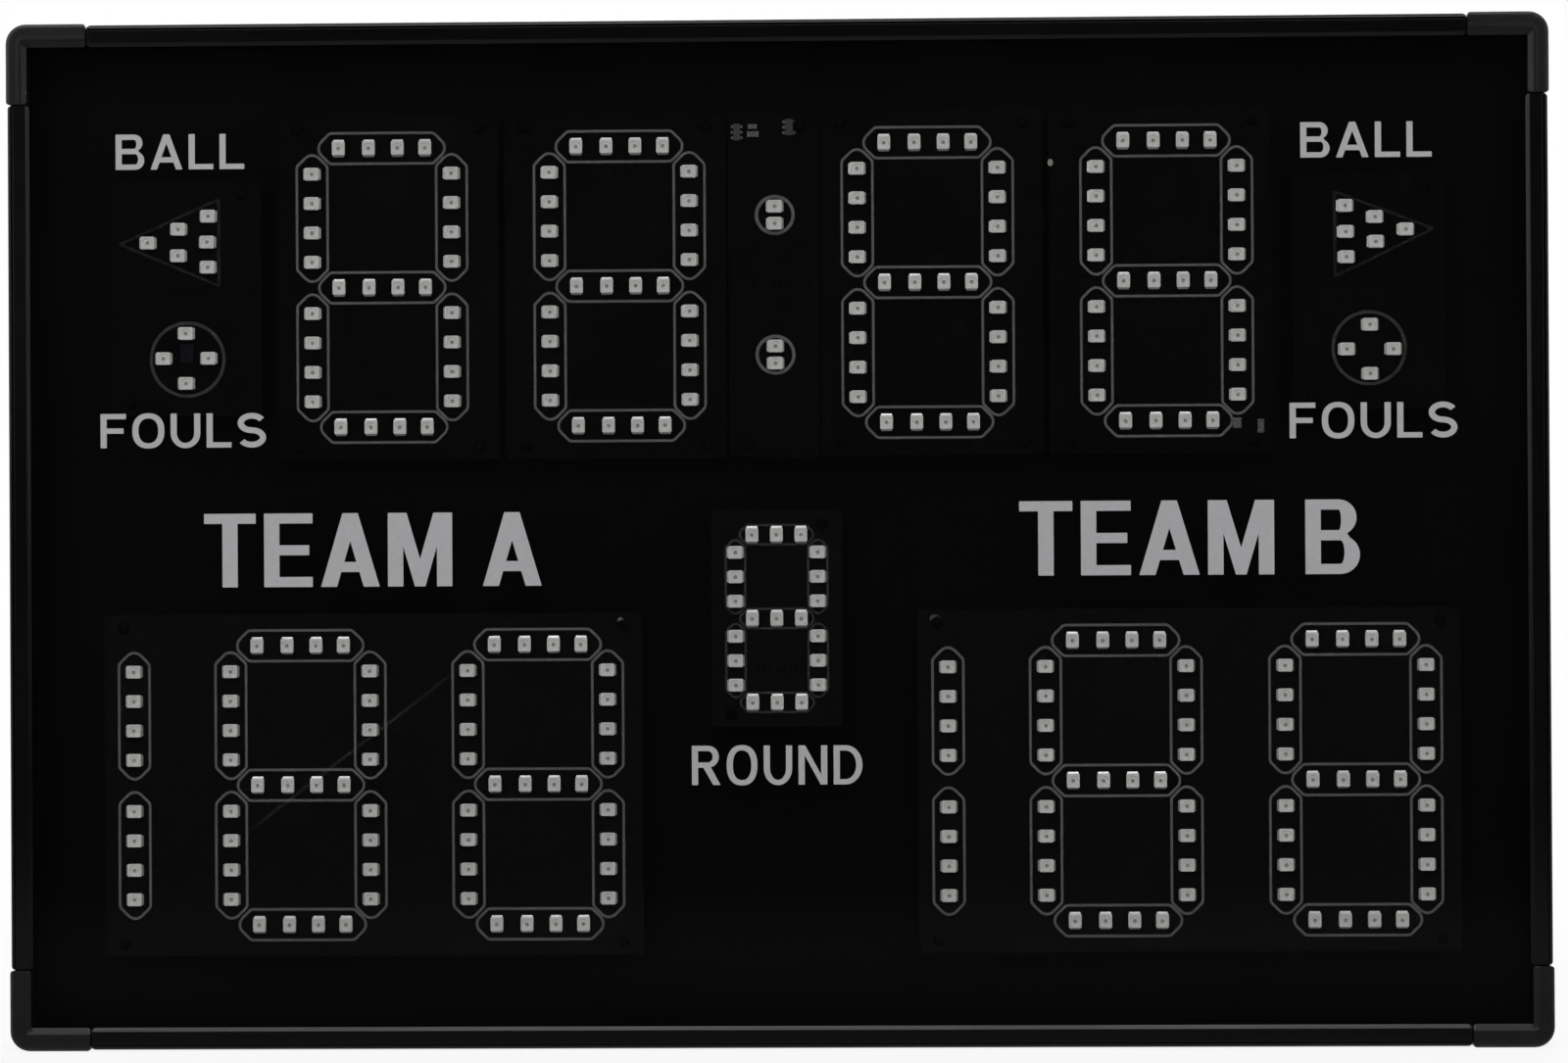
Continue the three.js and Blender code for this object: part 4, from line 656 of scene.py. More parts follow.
def new_finish(name, base, rough, metallic=0.0, specular=0.5, grain=900.0, tint=0.18,
               rough_spread=0.08, bump=0.01, stretch=None, dust=0.0, wear=0.0,
               wear_colour=(0.12, 0.12, 0.12), pattern=None, alpha=None):
    """A material from the shared effects. Grain or drawn lines shift the colour and raise the
    surface, smudges move the roughness, dust lightens what it covers, and the edge tone lightens edges as real wear
    and as a painted highlight."""
    material = bpy.data.materials.new(name)
    material.use_nodes = True
    graph = Graph(material.node_tree)
    place = graph.add("ShaderNodeTexCoord").outputs["Object"]
    if stretch:
        relief = place_effect(graph, "drawn", {"Vector": place, "Stretch": stretch})
    else:
        relief = place_effect(graph, "grain", {"Vector": place, "Scale": grain})
    smudge = place_effect(graph, "smudge", {"Vector": place, "Scale": 14.0})
    low = rgba([c * (1 - tint) for c in base])
    high = rgba([min(c * (1 + tint), 1) for c in base])
    tone = graph.mix(relief, low, high)
    height = relief
    if pattern:
        tone, height = pattern(graph, place, tone, height)
    roughness = graph.spread(smudge, 0.0, 1.0, rough - rough_spread, rough + rough_spread)
    # The edge tone is partly real wear and partly a painted highlight on the outer front edges.
    if wear > 0:
        edge = graph.add("ShaderNodeAttribute", attribute_name="edge").outputs["Fac"]
        mask = place_effect(graph, "wear", {"Vector": place, "Edge": edge, "Amount": wear})
        tone = graph.mix(mask, tone, rgba(wear_colour))
    if dust > 0:
        specks = place_effect(graph, "dust", {"Vector": place, "Scale": 300.0, "Cover": dust})
        tone = graph.mix(graph.math("MULTIPLY", specks, 0.3), tone, DUST_COLOUR)
    inputs = {"Base Color": tone, "Roughness": roughness, "Metallic": metallic,
              "Specular IOR Level": specular}
    if bump > 0:
        inputs["Normal"] = graph.add("ShaderNodeBump", {
            "Height": height, "Distance": bump * MM, "Strength": 1.0}).outputs[0]
    if alpha is not None:
        inputs["Alpha"] = graph.spread(smudge, 0.0, 1.0, alpha - 0.012, alpha + 0.012)
    shader = graph.add("ShaderNodeBsdfPrincipled", inputs)
    output = graph.add("ShaderNodeOutputMaterial")
    graph.tree.links.new(shader.outputs[0], output.inputs["Surface"])
    return material


def trace_pattern(graph, place, tone, height):
    """Copper traces under the mask: thin borders of square-cornered cells, a little lighter."""
    cells = graph.add("ShaderNodeTexVoronoi", {
        "Vector": place, "Scale": 130.0, "Randomness": 0.6},
        feature="F1", distance="CHEBYCHEV").outputs["Distance"]
    line = graph.spread(graph.math("PINGPONG", cells, 0.11), 0.075, 0.105, 0.0, 1.0)
    return graph.mix(graph.math("MULTIPLY", line, 0.5), tone, (0.0042, 0.0044, 0.0042, 1)), line


def ribbon_pattern(graph, place, tone, height):
    """Parallel wires of a flat cable: a wave across the ribbon in both directions that it runs."""
    wave = graph.add("ShaderNodeTexWave", {
        "Vector": place, "Scale": 125.0, "Distortion": 0.0},
        wave_type="BANDS", bands_direction="Z").outputs["Fac"]
    return graph.mix(graph.math("MULTIPLY", wave, 0.35), tone, (0.12, 0.12, 0.125, 1)), wave


def component_pattern(graph, place, tone, height):
    """Green board with dark parts on it: what stands behind the board's rear face is dark."""
    board_back = 6.5
    depth = graph.add("ShaderNodeSeparateXYZ", {0: place}).outputs["Y"]
    parts = graph.math("GREATER_THAN", depth, board_back * MM)
    return graph.mix(parts, tone, (0.02, 0.02, 0.021, 1)), height


def cone_pattern(graph, place, tone, height):
    """Pressed rings in the paper cone, round the horn's middle."""
    x, z = node_middle("horn_cone")
    moved = graph.add("ShaderNodeMapping", {
        "Vector": place, "Location": (-x * MM, 0.0, -z * MM)}, vector_type="POINT").outputs[0]
    rings = graph.add("ShaderNodeTexWave", {"Vector": moved, "Scale": 110.0},
                      wave_type="RINGS", rings_direction="Y").outputs["Fac"]
    return graph.mix(graph.math("MULTIPLY", rings, 0.3), tone, (0.03, 0.028, 0.025, 1)), rings


# Where the panel's scratch starts, and how far it runs along X and Z
SCRATCH_START, SCRATCH_RUN = (-209.7, 0.0, 87.1), (80.9, 61.7)


def scratch_pattern(graph, place, tone, height):
    """One faint scratch across the left score. Its own axes run along and across it, from where
    it starts, and a noise breaks it up."""
    slope = math.atan2(SCRATCH_RUN[1], SCRATCH_RUN[0])
    moved = graph.add("ShaderNodeVectorMath", {0: place, 1: Vector(SCRATCH_START) * MM},
                      operation="SUBTRACT").outputs[0]
    along = graph.add("ShaderNodeVectorMath", {
        0: moved, 1: (math.cos(slope), 0.0, math.sin(slope))}, operation="DOT_PRODUCT")
    across = graph.add("ShaderNodeVectorMath", {
        0: moved, 1: (-math.sin(slope), 0.0, math.cos(slope))}, operation="DOT_PRODUCT")
    away = graph.math("ABSOLUTE", across.outputs["Value"])
    thin = graph.spread(away, 0.2 * MM, 0.9 * MM, 1.0, 0.0)
    middle = graph.math("ABSOLUTE", graph.math("SUBTRACT", along.outputs["Value"], 52 * MM))
    ends = graph.spread(middle, 40 * MM, 54 * MM, 1.0, 0.0)
    broken = graph.spread(graph.noise(place, 60.0, 3.0), 0.3, 0.6, 0.35, 1.0)
    mask = graph.math("MULTIPLY", graph.math("MULTIPLY", thin, ends), broken)
    return graph.mix(mask, tone, (0.05, 0.05, 0.05, 1)), height


# The rails' wear colour lightens their outer front edges: partly real wear, partly a painted highlight.
RAIL_FINISH = {"rough": 0.23, "specular": 0.3, "tint": 0.3, "rough_spread": 0.03, "bump": 0.012,
               "dust": 0.35, "wear": 0.5, "wear_colour": (0.03, 0.03, 0.03)}
FINISHES = {
    "rail_across": lambda c: new_finish(
        "Anodised, drawn across", c.anodised, stretch=(3.0, 700.0, 700.0), **RAIL_FINISH),
    "rail_upright": lambda c: new_finish(
        "Anodised, drawn upright", c.anodised, stretch=(700.0, 700.0, 3.0), **RAIL_FINISH),
    # The cap's wear colour lightens its outer front edges: partly real wear, partly a painted highlight.
    "cap": lambda c: new_finish(
        "Moulded cap", c.cap, 0.36, specular=0.38, grain=1500.0, tint=0.2, rough_spread=0.04,
        bump=0.03, dust=0.7, wear=0.6, wear_colour=(0.06, 0.06, 0.06)),
    "panel": lambda c: new_finish(
        "Smoked sheet", c.panel, 0.09, specular=0.22, grain=60.0, tint=0.25, rough_spread=0.03,
        bump=0.0, dust=0.45, pattern=scratch_pattern, alpha=c.panel_alpha),
    "legend": lambda c: new_finish(
        "Legend ink", c.legend, 0.55, specular=0.3, grain=700.0, tint=0.05, bump=0.004),
    "tray": lambda c: new_finish(
        "Black tray", c.tray, 0.6, specular=0.05, grain=500.0, tint=0.3, bump=0.02),
    "mask": lambda c: new_finish(
        "Solder mask", c.mask, 0.45, specular=0.05, grain=1200.0, tint=0.12, bump=0.02,
        pattern=trace_pattern),
    "score_mask": lambda c: new_finish(
        "Paler solder mask", [v * 1.9 for v in c.mask], 0.45, specular=0.05, grain=1200.0,
        tint=0.12, bump=0.02, pattern=trace_pattern),
    "outline": lambda c: new_finish(
        "Board print", c.outline, 0.6, specular=0.1, grain=1500.0, tint=0.15, bump=0.004),
    "faint": lambda c: new_finish(
        "Worn board print", [v * 0.11 for v in c.outline], 0.6, specular=0.1, grain=300.0,
        tint=0.6, bump=0.004),
    "dim_print": lambda c: new_finish(
        "Thin board print", [v * 0.34 for v in c.outline], 0.6, specular=0.1, grain=700.0,
        tint=0.4, bump=0.004),
    "blue_part": lambda c: new_finish(
        "Blue part", (0.0045, 0.0045, 0.0105), 0.45, specular=0.2, grain=900.0, bump=0.01),
    "led": lambda c: new_finish(
        "LED housing", c.led, 0.45, specular=0.4, grain=900.0, tint=0.06, bump=0.006),
    "lens": lambda c: new_finish(
        "LED resin", c.lens, 0.2, specular=0.5, grain=1500.0, tint=0.1, bump=0.004),
    "chip": lambda c: new_finish(
        "LED chip", (0.3, 0.29, 0.25), 0.3, specular=0.5, grain=3000.0, tint=0.3, bump=0.006),
    "solder": lambda c: new_finish(
        "Solder", (0.62, 0.62, 0.62), 0.38, metallic=1.0, grain=1500.0, tint=0.15, bump=0.02),
    "header": lambda c: new_finish(
        "Header plastic", (0.02, 0.02, 0.021), 0.45, grain=900.0, bump=0.01),
    "chip_body": lambda c: new_finish(
        "Part body", (0.05, 0.05, 0.05), 0.4, grain=1800.0, bump=0.01),
    "resistor": lambda c: new_finish(
        "Small part", (0.1, 0.1, 0.1), 0.4, grain=1800.0, bump=0.01),
    "cover": lambda c: new_finish(
        "Powder coat", c.cover, 0.5, specular=0.45, grain=650.0, tint=0.2, bump=0.06, dust=0.6),
    "zinc": lambda c: new_finish(
        "Zinc plate", c.zinc, 0.34, metallic=1.0, grain=220.0, tint=0.12, rough_spread=0.1,
        bump=0.006),
    "black_screw": lambda c: new_finish(
        "Black zinc plate", (0.03, 0.03, 0.032), 0.28, specular=0.9, grain=900.0, tint=0.25,
        bump=0.01),
    "plastic": lambda c: new_finish(
        "Control plastic", (0.012, 0.012, 0.0125), 0.38, grain=1600.0, bump=0.02, dust=0.4),
    "rocker": lambda c: new_finish(
        "Rocker plastic", (0.016, 0.016, 0.017), 0.3, grain=1600.0, bump=0.012, dust=0.3),
    "mark": lambda c: new_finish(
        "White mark", (0.75, 0.75, 0.73), 0.5, grain=1500.0, tint=0.06, bump=0.004),
    "nickel": lambda c: new_finish(
        "Nickel pin", (0.7, 0.67, 0.6), 0.25, metallic=1.0, grain=900.0, tint=0.08, bump=0.004),
    "ribbon": lambda c: new_finish(
        "Ribbon cable", (0.3, 0.3, 0.31), 0.5, grain=500.0, bump=0.3, pattern=ribbon_pattern),
    "control": lambda c: new_finish(
        "Control board", (0.01, 0.06, 0.025), 0.4, grain=800.0, bump=0.02,
        pattern=component_pattern),
    "cone": lambda c: new_finish(
        "Paper cone", (0.018, 0.017, 0.016), 0.8, grain=900.0, bump=0.2, pattern=cone_pattern),
    "lead": lambda c: new_finish(
        "Lead sleeve", (0.02, 0.02, 0.021), 0.45, grain=600.0, bump=0.02),
    "steel": lambda c: new_finish(
        "Dark steel", (0.3, 0.3, 0.31), 0.4, metallic=1.0, grain=500.0, bump=0.01),
}


def get_finish(name):
    """A finish by name, made once from the scene's colours."""
    if name not in finishes:
        finishes[name] = FINISHES[name](bpy.context.scene.scoreboard_colours)
    return finishes[name]


# Frame rails and caps

# Distances in from a rail's outer face, and the depths of its front groove and bevel
RAIL_WALL, RAIL_RIB, RAIL_LEDGE = 1.6, 5.8, 12.0
GROOVE_START, GROOVE_END, GROOVE_DEPTH = 1.5, 2.3, 0.8
BEVEL_START, RAIL_LIP, BEVEL_DEPTH = 7.15, 8.8, 0.9
# How far a rail's end is drawn in, and at which steps from the end
RAIL_END_GAPS = np.array([1.0, 0.6, 0.3, 0.08, 0.0, 0.0])
RAIL_END_STEPS = 0.3 + np.array([0.0, 0.25, 0.6, 1.05, 1.5, 1.8])
SECTION_GUARD = 0.2


def ribs(wall, reach, fronts):
    """The corners of a section's ribs: depth by depth, out from the wall and back to it."""
    corners = []
    for front in fronts:
        corners += [(wall, front, 0), (reach, front, 0.2),
                    (reach, front + RIB_T, 0.2), (wall, front + RIB_T, 0)]
    return corners


def rail_section(round_r):
    """A rail's closed section: distance in from the outer face, and depth."""
    floor = RAIL_FRONT + GROOVE_DEPTH
    corners = [
        (0, RAIL_FRONT, round_r), (GROOVE_START, RAIL_FRONT, 0.15),
        (GROOVE_START + 0.1, floor, 0.1), (GROOVE_END - 0.1, floor, 0.1),
        (GROOVE_END, RAIL_FRONT, 0.15), (BEVEL_START, RAIL_FRONT, 0.3),
        (RAIL_LIP, RAIL_FRONT + BEVEL_DEPTH, 0.15), (RAIL_LIP, LIP_BACK, 0.1),
        (RAIL_WALL, LIP_BACK, 0.3),
        *ribs(RAIL_WALL, RAIL_RIB, RIB_FRONTS),
        (RAIL_WALL, LEDGE_FRONT, 0), (RAIL_LEDGE, LEDGE_FRONT, 0.2),
        (RAIL_LEDGE, LEDGE_BACK, 0.2), (RAIL_WALL, LEDGE_BACK, 0),
        (RAIL_WALL, RAIL_BACK, 0.3), (0, RAIL_BACK, round_r)]
    corners = np.array(corners, float)
    return rounded(corners[:, :2], corners[:, 2], 3, SECTION_GUARD)


def section_edge(section, front):
    """How much of the edge tone, partly wear and partly a painted highlight, each point of a
    section takes: most on the outer front edge, and falling off with its distance from there as a bell curve."""
    away = np.hypot(section[:, 0] - 0.3, section[:, 1] - front - 0.3)
    return np.exp(-(away / 0.7) ** 2)


def eased(section, gap, front, back, lip, lip_back, front_part):
    """A section drawn in by a gap from its outer face, by a part of it from its front and back,
    and by most of it from its lip's edge, which rounds a piece's end when the gap grows there."""
    u = np.maximum(section[:, 0], gap)
    y = np.clip(section[:, 1], front + gap * front_part, back - gap * front_part)
    u = np.where(section[:, 1] < lip_back + 0.01, np.minimum(u, lip - 0.8 * gap), u)
    return np.stack([u, y], -1)


RAIL_PLACES = {
    "bottom": lambda u, y, s: (s, y, CASE_H - RAIL_OUT + u),
    "top": lambda u, y, s: (s, y, RAIL_OUT - u),
    "left": lambda u, y, s: (-RAIL_OUT_X + u, y, s),
    "right": lambda u, y, s: (RAIL_OUT_X - u, y, s),
}


def rail_surface(side, round_r):
    """A section carried along a straight rail, and drawn in towards both ends."""
    section = rail_section(round_r)
    low, high = node_box(f"{side}_rail")
    axis = 0 if side in ("bottom", "top") else 2
    start, end = low[axis], high[axis]
    inner = np.linspace(start, end, 13)[1:-1]
    stations = np.concatenate([start + RAIL_END_STEPS, inner, (end - RAIL_END_STEPS)[::-1]])
    insets = np.concatenate([RAIL_END_GAPS, np.zeros(len(inner)), RAIL_END_GAPS[::-1]])
    rows = np.stack([eased(section, gap, RAIL_FRONT, RAIL_BACK, RAIL_LIP, LIP_BACK, 0.05)
                     for gap in insets])
    u, y = rows[..., 0], rows[..., 1]
    s = np.broadcast_to(stations[:, None], u.shape)
    points = np.stack(RAIL_PLACES[side](u, y, s), -1)
    finish = "rail_across" if axis == 0 else "rail_upright"
    # The rail's edge tone: partly wear, partly a painted highlight on its outer front edge.
    edge = np.tile(section_edge(section, RAIL_FRONT), len(stations))
    return surface(points, grid_faces(*u.shape), finish, edge)


def cutter(outline, z):
    """A throwaway solid through the right rail's outer wall, for a hole."""
    inside, outside = -4.0, 3.0
    part = stack([sideways(outline, z, inside), sideways(outline, z, outside)], "plastic")
    mesh = bpy.data.meshes.new("cutter")
    mesh.from_pydata(part["points"] * MM, [], part["faces"])
    tool = bpy.data.objects.new("cutter", mesh)
    bpy.context.scene.collection.objects.link(tool)
    finish_mesh(mesh, 0.001, 30)
    return tool


def cut_holes(piece, tools):
    """Cuts each tool out of a piece and keeps the result as the piece's own mesh."""
    for tool in tools:
        modifier = piece.modifiers.new("hole", "BOOLEAN")
        modifier.operation = "DIFFERENCE"
        modifier.solver = "EXACT"
        modifier.object = tool
    graph = bpy.context.evaluated_depsgraph_get()
    mesh = bpy.data.meshes.new_from_object(piece.evaluated_get(graph))
    piece.modifiers.clear()
    piece.data = mesh
    for tool in tools:
        bpy.data.objects.remove(tool)
    mesh.shade_smooth()
    mesh.set_sharp_from_angle(angle=math.radians(32))


# A cap's leg, its corner's radius and its ends' radius
CAP_LEG, CAP_R, CAP_END_R = 32.0, 8.0, 1.5
# Distances in from a cap's outer face, and where an upright leg's lip starts to be narrower
CAP_WALL, CAP_RIB, CAP_BLOCK = 2.1, 6.3, 10.5
CAP_LIP, UPRIGHT_LIP = 9.3, 8.3
LIP_FIXED = 2.6


def cap_section(round_r, groove):
    """A cap's closed section: rounded outside, a shallow channel along the front, the window's
    sloping edge, the ribs and the solid block behind."""
    corners = [
        (0, CAP_FRONT, round_r), (2.4, CAP_FRONT, 1.5), (4.4, CAP_FRONT + groove, 4.0),
        (6.5, CAP_FRONT, 2.4), (CAP_LIP, CAP_FRONT + 1.3, 0.3), (CAP_LIP, LIP_BACK, 0.1),
        (CAP_WALL, LIP_BACK, 0.3),
        *ribs(CAP_WALL, CAP_RIB, RIB_FRONTS[:2]),
        (CAP_WALL, RIB_FRONTS[2], 0), (CAP_BLOCK, RIB_FRONTS[2], 0.2),
        (CAP_BLOCK, LEDGE_BACK, 0.3), (CAP_WALL, LEDGE_BACK, 0), (CAP_WALL, CAP_BACK, 0.4),
        (0, CAP_BACK, round_r)]
    corners = np.array(corners, float)
    return rounded(corners[:, :2], corners[:, 2], 4, SECTION_GUARD)


def narrowed(section):
    """The section of a cap's upright leg, whose front lip is a little narrower: past the fixed
    part, distances from it shrink in proportion."""
    u, y = section.T
    lip = LIP_FIXED + (u - LIP_FIXED) * (UPRIGHT_LIP - LIP_FIXED) / (CAP_LIP - LIP_FIXED)
    return np.stack([np.where((y < LIP_BACK + 0.01) & (u > LIP_FIXED), lip, u), y], -1)


def cap_surface(section):
    """The section carried along an L. On a leg a point lies at its own distance from the outer
    face, and never closer to the corner than that. Round the corner, points nearer than the
    corner's radius turn about its centre, and the others stay where the two legs meet. Each
    leg's end is drawn in on a quarter circle."""
    angle = np.linspace(np.pi / 2, 0, 6)
    inner = [CAP_LEG - CAP_END_R - 0.4, 24.0, 16.0, 11.5, 9.4, CAP_R]
    runs = np.concatenate([CAP_LEG - CAP_END_R * (1 - np.sin(angle)), inner])
    gaps = np.concatenate([CAP_END_R * (1 - np.cos(angle)), np.zeros(len(inner))])
    upright_leg = narrowed(section)
    flat, tall = [], []
    for run, gap in zip(runs, gaps):
        across = eased(section, gap, CAP_FRONT, CAP_BACK, CAP_LIP, LIP_BACK, 0.04)
        along = eased(upright_leg, gap, CAP_FRONT, CAP_BACK, UPRIGHT_LIP, LIP_BACK, 0.04)
        flat.append(np.stack([np.maximum(run, along[:, 0]), across[:, 1], across[:, 0]], -1))
        tall.append(np.stack([along[:, 0], along[:, 1], np.maximum(run, across[:, 0])], -1))
    turn = np.linspace(0, np.pi / 2, 9)[1:-1, None]
    near, far = upright_leg[:, 0], section[:, 0]
    a = np.where(near < CAP_R, CAP_R - (CAP_R - near) * np.sin(turn), near)
    b = np.where(far < CAP_R, CAP_R - (CAP_R - far) * np.cos(turn), far)
    corner = np.stack([a, np.broadcast_to(section[:, 1], a.shape), b], -1)
    return np.concatenate([np.stack(flat), corner, np.stack(tall)[::-1]])


# A cap's tongues: where they start and end along a leg, their nearest and farthest distance from
# the outer face, and their depths. The long one holds the rail, and the short ones close its joint.
TONGUES = (
    (30.0, 57.0, 2.4, 10.1, -1.8, 14.2), (30.5, 39.0, 1.7, 2.9, -18.4, -14.7),
    (30.5, 39.0, 1.7, 2.9, -13.1, -7.3), (30.5, 39.0, 1.7, 2.9, -5.7, -3.5),
    (30.5, 39.0, 1.7, 2.9, -1.9, 14.3),
)


def cap_tongues():
    """The tongues that slide into a rail, as rounded bars in local axes."""
    parts = []
    for start, end, low, high, front, back in TONGUES:
        outline = rounded([(low, front), (high, front), (high, back), (low, back)], 0.4, 2)
        parts.append(np.stack([np.stack([np.full(len(outline), s), outline[:, 1], outline[:, 0]], -1)
                               for s in (start, end)]))
    return parts


def cap_place(points, right, top):
    """Puts a cap's local points at a corner by mirroring them about the case's middle."""
    x = points[..., 0] - CASE_HALF_W
    z = points[..., 2]
    return np.stack([-x if right else x, points[..., 1], CASE_H - z if top else z], -1)


# LED boards


def led_spots_digit(x, z):
    """X, Z and whether upright for one large digit's LEDs."""
    spots = []
    offsets = (np.arange(4) - 1.5) * COLUMN_PITCH
    for side in (-0.5, 0.5):
        for half in (-0.5, 0.5):
            spots += [(x + side * COLUMN_SPACING, z + half * ROW_SPACING + o, 0) for o in offsets]
    for row in (-1, 0, 1):
        shift = BOTTOM_ROW_SHIFT if row < 0 else 0.0
        spots += [(x + shift + k * COLUMN_SPACING, z + row * ROW_SPACING, 1) for k in ROW_SHARES]
    return spots


def led_spots_one(x, z):
    """A leading one: two bars of four."""
    offsets = (np.arange(4) - 1.5) * COLUMN_PITCH
    return [(x, z + half * ROW_SPACING + o, 0) for half in (-0.5, 0.5) for o in offsets]


def led_spots_small(x, z):
    """The small digit: bars of three."""
    offsets = (np.arange(3) - 1) * SMALL_PITCH
    spots = []
    for side in (-0.5, 0.5):
        for half in (-0.5, 0.5):
            spots += [(x + side * SMALL_COLUMNS, z + half * SMALL_ROWS + o, 0) for o in offsets]
    for row in (-1, 0, 1):
        spots += [(x + o, z + row * SMALL_ROWS, 1) for o in offsets]
    return spots


def led_spots_colon():
    """Two dots of two LEDs each."""
    return [(COLON_PRINT_X, TIMER_Z + half * ROW_SPACING + o, 0)
            for half in (-0.5, 0.5) for o in (-3.4, 3.4)]


def led_spots_mark(mark):
    """An arrow of six, and a ring of four round its middle."""
    x, z, wide, tall = mark["ring"]
    return [(*spot, 0) for spot in mark["arrow"]] + [
        (x + dx * wide, z + dz * tall, 0) for dx, dz in ((1, 0), (-1, 0), (0, 1), (0, -1))]


def led_template(recess):
    """One LED package lying along X: outlines stacked from the board to the chip. The housing's
    outline has three points at each corner, and the circles of the recess have one in the same
    direction for each of them, which starts the circles at 195 degrees."""
    sides = 12
    outer = box_outline(LED_L, LED_W, 0.45, 2)
    inner = box_outline(LED_L - 0.3, LED_W - 0.3, 0.35, 2)
    discs = [circle(radius, sides, math.radians(195)) for radius in (2.05, 1.8, 0.8, 0.62)]
    outlines = [outer, outer, inner, *discs]
    front, floor = LED_FRONT, LED_FRONT + recess
    depths = [PCB_FRONT + 0.1, front + 0.15, front, front, floor, floor, front + 0.1]
    points = np.stack([upright(outline, 0, 0, y) for outline, y in zip(outlines, depths)])
    *bands, back, top = grid_faces(len(outlines), sides)
    cuts = {"led": bands[:3 * sides] + [back], "lens": bands[3 * sides:5 * sides],
            "chip": bands[5 * sides:] + [top]}
    return points.reshape(-1, 3), cuts


def pad_template():
    """Two solder fillets at the ends of an LED: wedges, low at the outside, with their finish."""
    x0, x1, z, low, high = 2.7, 3.45, 2.1, 0.12, 0.5
    corner = []
    for side in (-1, 1):
        for x, t in ((x0, high), (x1, low)):
            corner += [(side * x, PCB_FRONT + 0.05, -z), (side * x, PCB_FRONT + 0.05, z),
                       (side * x, PCB_FRONT - t, z), (side * x, PCB_FRONT - t, -z)]
    faces = []
    for base in (0, 8):
        faces += [[base + i for i in quad] for quad in
                  ((0, 1, 2, 3), (4, 7, 6, 5), (0, 4, 5, 1), (1, 5, 6, 2), (2, 6, 7, 3), (3, 7, 4, 0))]
    return np.array(corner), {"solder": faces}


def repeat(points, cuts, spots):
    """Copies a template to many spots as one array, turned by a quarter where upright. Its cuts
    are the faces of each finish, and each makes a surface."""
    spots = np.array(spots, float)
    turned = points[:, [2, 1, 0]] * np.array([-1, 1, 1])
    shape = np.where(spots[:, 2, None, None] > 0.5, turned[None], points[None])
    placed = shape + np.stack([spots[:, 0], np.zeros(len(spots)), spots[:, 1]], -1)[:, None]
    starts = [k * len(points) for k in range(len(spots))]
    return [surface(placed, [[index + start for index in face] for start in starts for face in faces],
                    finish) for finish, faces in cuts.items()]


def segment_outline(width, long, tip, round_r, tip_r):
    """An upright pointed segment: a hexagon with softened corners."""
    a, b = width / 2, long / 2
    points = [(-a, -b + tip), (0, -b), (a, -b + tip), (a, b - tip), (0, b), (-a, b - tip)]
    return rounded(points, [round_r, tip_r, round_r] * 2, 5)


def segment_strip(x, z, flat, width, long, tip, line, finish="outline"):
    """A printed segment outline on a board. Flat ones are turned by a quarter. The inner outline
    keeps the line's width beside the sloping ends too."""
    soft, blunt = 0.2 * width, 0.33 * width
    outer = segment_outline(width, long, tip, soft, blunt)
    slope = math.atan2(tip, width / 2)
    shrink = line / math.cos(slope)
    inner_tip = tip - shrink + line * math.tan((math.pi / 2 - slope) / 2)
    inner = segment_outline(width - 2 * line, long - 2 * shrink, inner_tip, soft - line,
                            blunt - line)
    if flat:
        outer, inner = outer[:, ::-1] * (-1, 1), inner[:, ::-1] * (-1, 1)
    return strip(outer, inner, x, z, finish)


def ring_strip(x, z, radius, line, finish, sides=48):
    """A printed circle."""
    return strip(circle(radius, sides), circle(radius - line, sides), x, z, finish)


def digit_strips(x, z, columns, rows, low_shift, *segment):
    """The seven segment outlines of a digit, each with the segment's own sizes. The lowest one
    is shifted a little."""
    strips = [segment_strip(x + side * columns, z + half * rows, False, *segment)
              for side in (-0.5, 0.5) for half in (-0.5, 0.5)]
    for row, shift in ((-1, low_shift), (0, 0.0), (1, 0.0)):
        strips.append(segment_strip(x + shift, z + row * rows, True, *segment))
    return strips


def triangle_strip(points, line, finish):
    """A printed triangle: the inner outline is drawn in towards the middle."""
    points = np.array(points, float)
    middle = points.mean(0)
    outer = rounded(points - middle, 0.6, 2)
    reach = np.linalg.norm(points - middle, axis=1).mean()
    inner = outer * (1 - 2.2 * line / reach)
    return strip(outer, inner, *middle, finish)


def on_board(x, z, width, height, rise, sunk, finish, radius, edge):
    """A soft block on a board's front: its rise above the board, and how far it sinks into it."""
    return soft_block(x, z, width, height, PCB_FRONT - rise, PCB_FRONT + sunk, finish, radius, edge)


def resistor(x, z, width, height, lying=True):
    """A small surface part: a dark body with bright ends."""
    parts = [on_board(x, z, width, height, 0.55, 0.05, "resistor", 0.15, 0.08)]
    for side in (-1, 1):
        if lying:
            end = (x + side * width * 0.42, z, width * 0.24, height + 0.08)
        else:
            end = (x, z + side * height * 0.42, width + 0.08, height * 0.24)
        parts.append(on_board(*end, 0.6, 0.04, "solder", 0.1, 0.06))
    return parts


def dab(x, z, outline, rise, finish):
    """A low drop on a board: its outline, drawn in towards the top."""
    return stack([upright(outline * 0.6, x, z, PCB_FRONT - rise),
                  upright(outline * 0.9, x, z, PCB_FRONT - 0.7 * rise),
                  upright(outline, x, z, PCB_FRONT + 0.05)], finish)


def small_chip(x, z, width, height, legs):
    """A small driver chip with legs along its two long sides."""
    parts = [on_board(x, z, width, height, 1.1, -0.1, "chip_body", 0.2, 0.12)]
    for k in range(legs):
        leg_z = z + (k - (legs - 1) / 2) * height / legs
        for side in (-1, 1):
            leg_x = x + side * (width / 2 + 0.45)
            parts.append(on_board(leg_x, leg_z, 1.1, height / legs * 0.45, 0.3, 0.04, "solder",
                                  0.1, 0.05))
    return parts


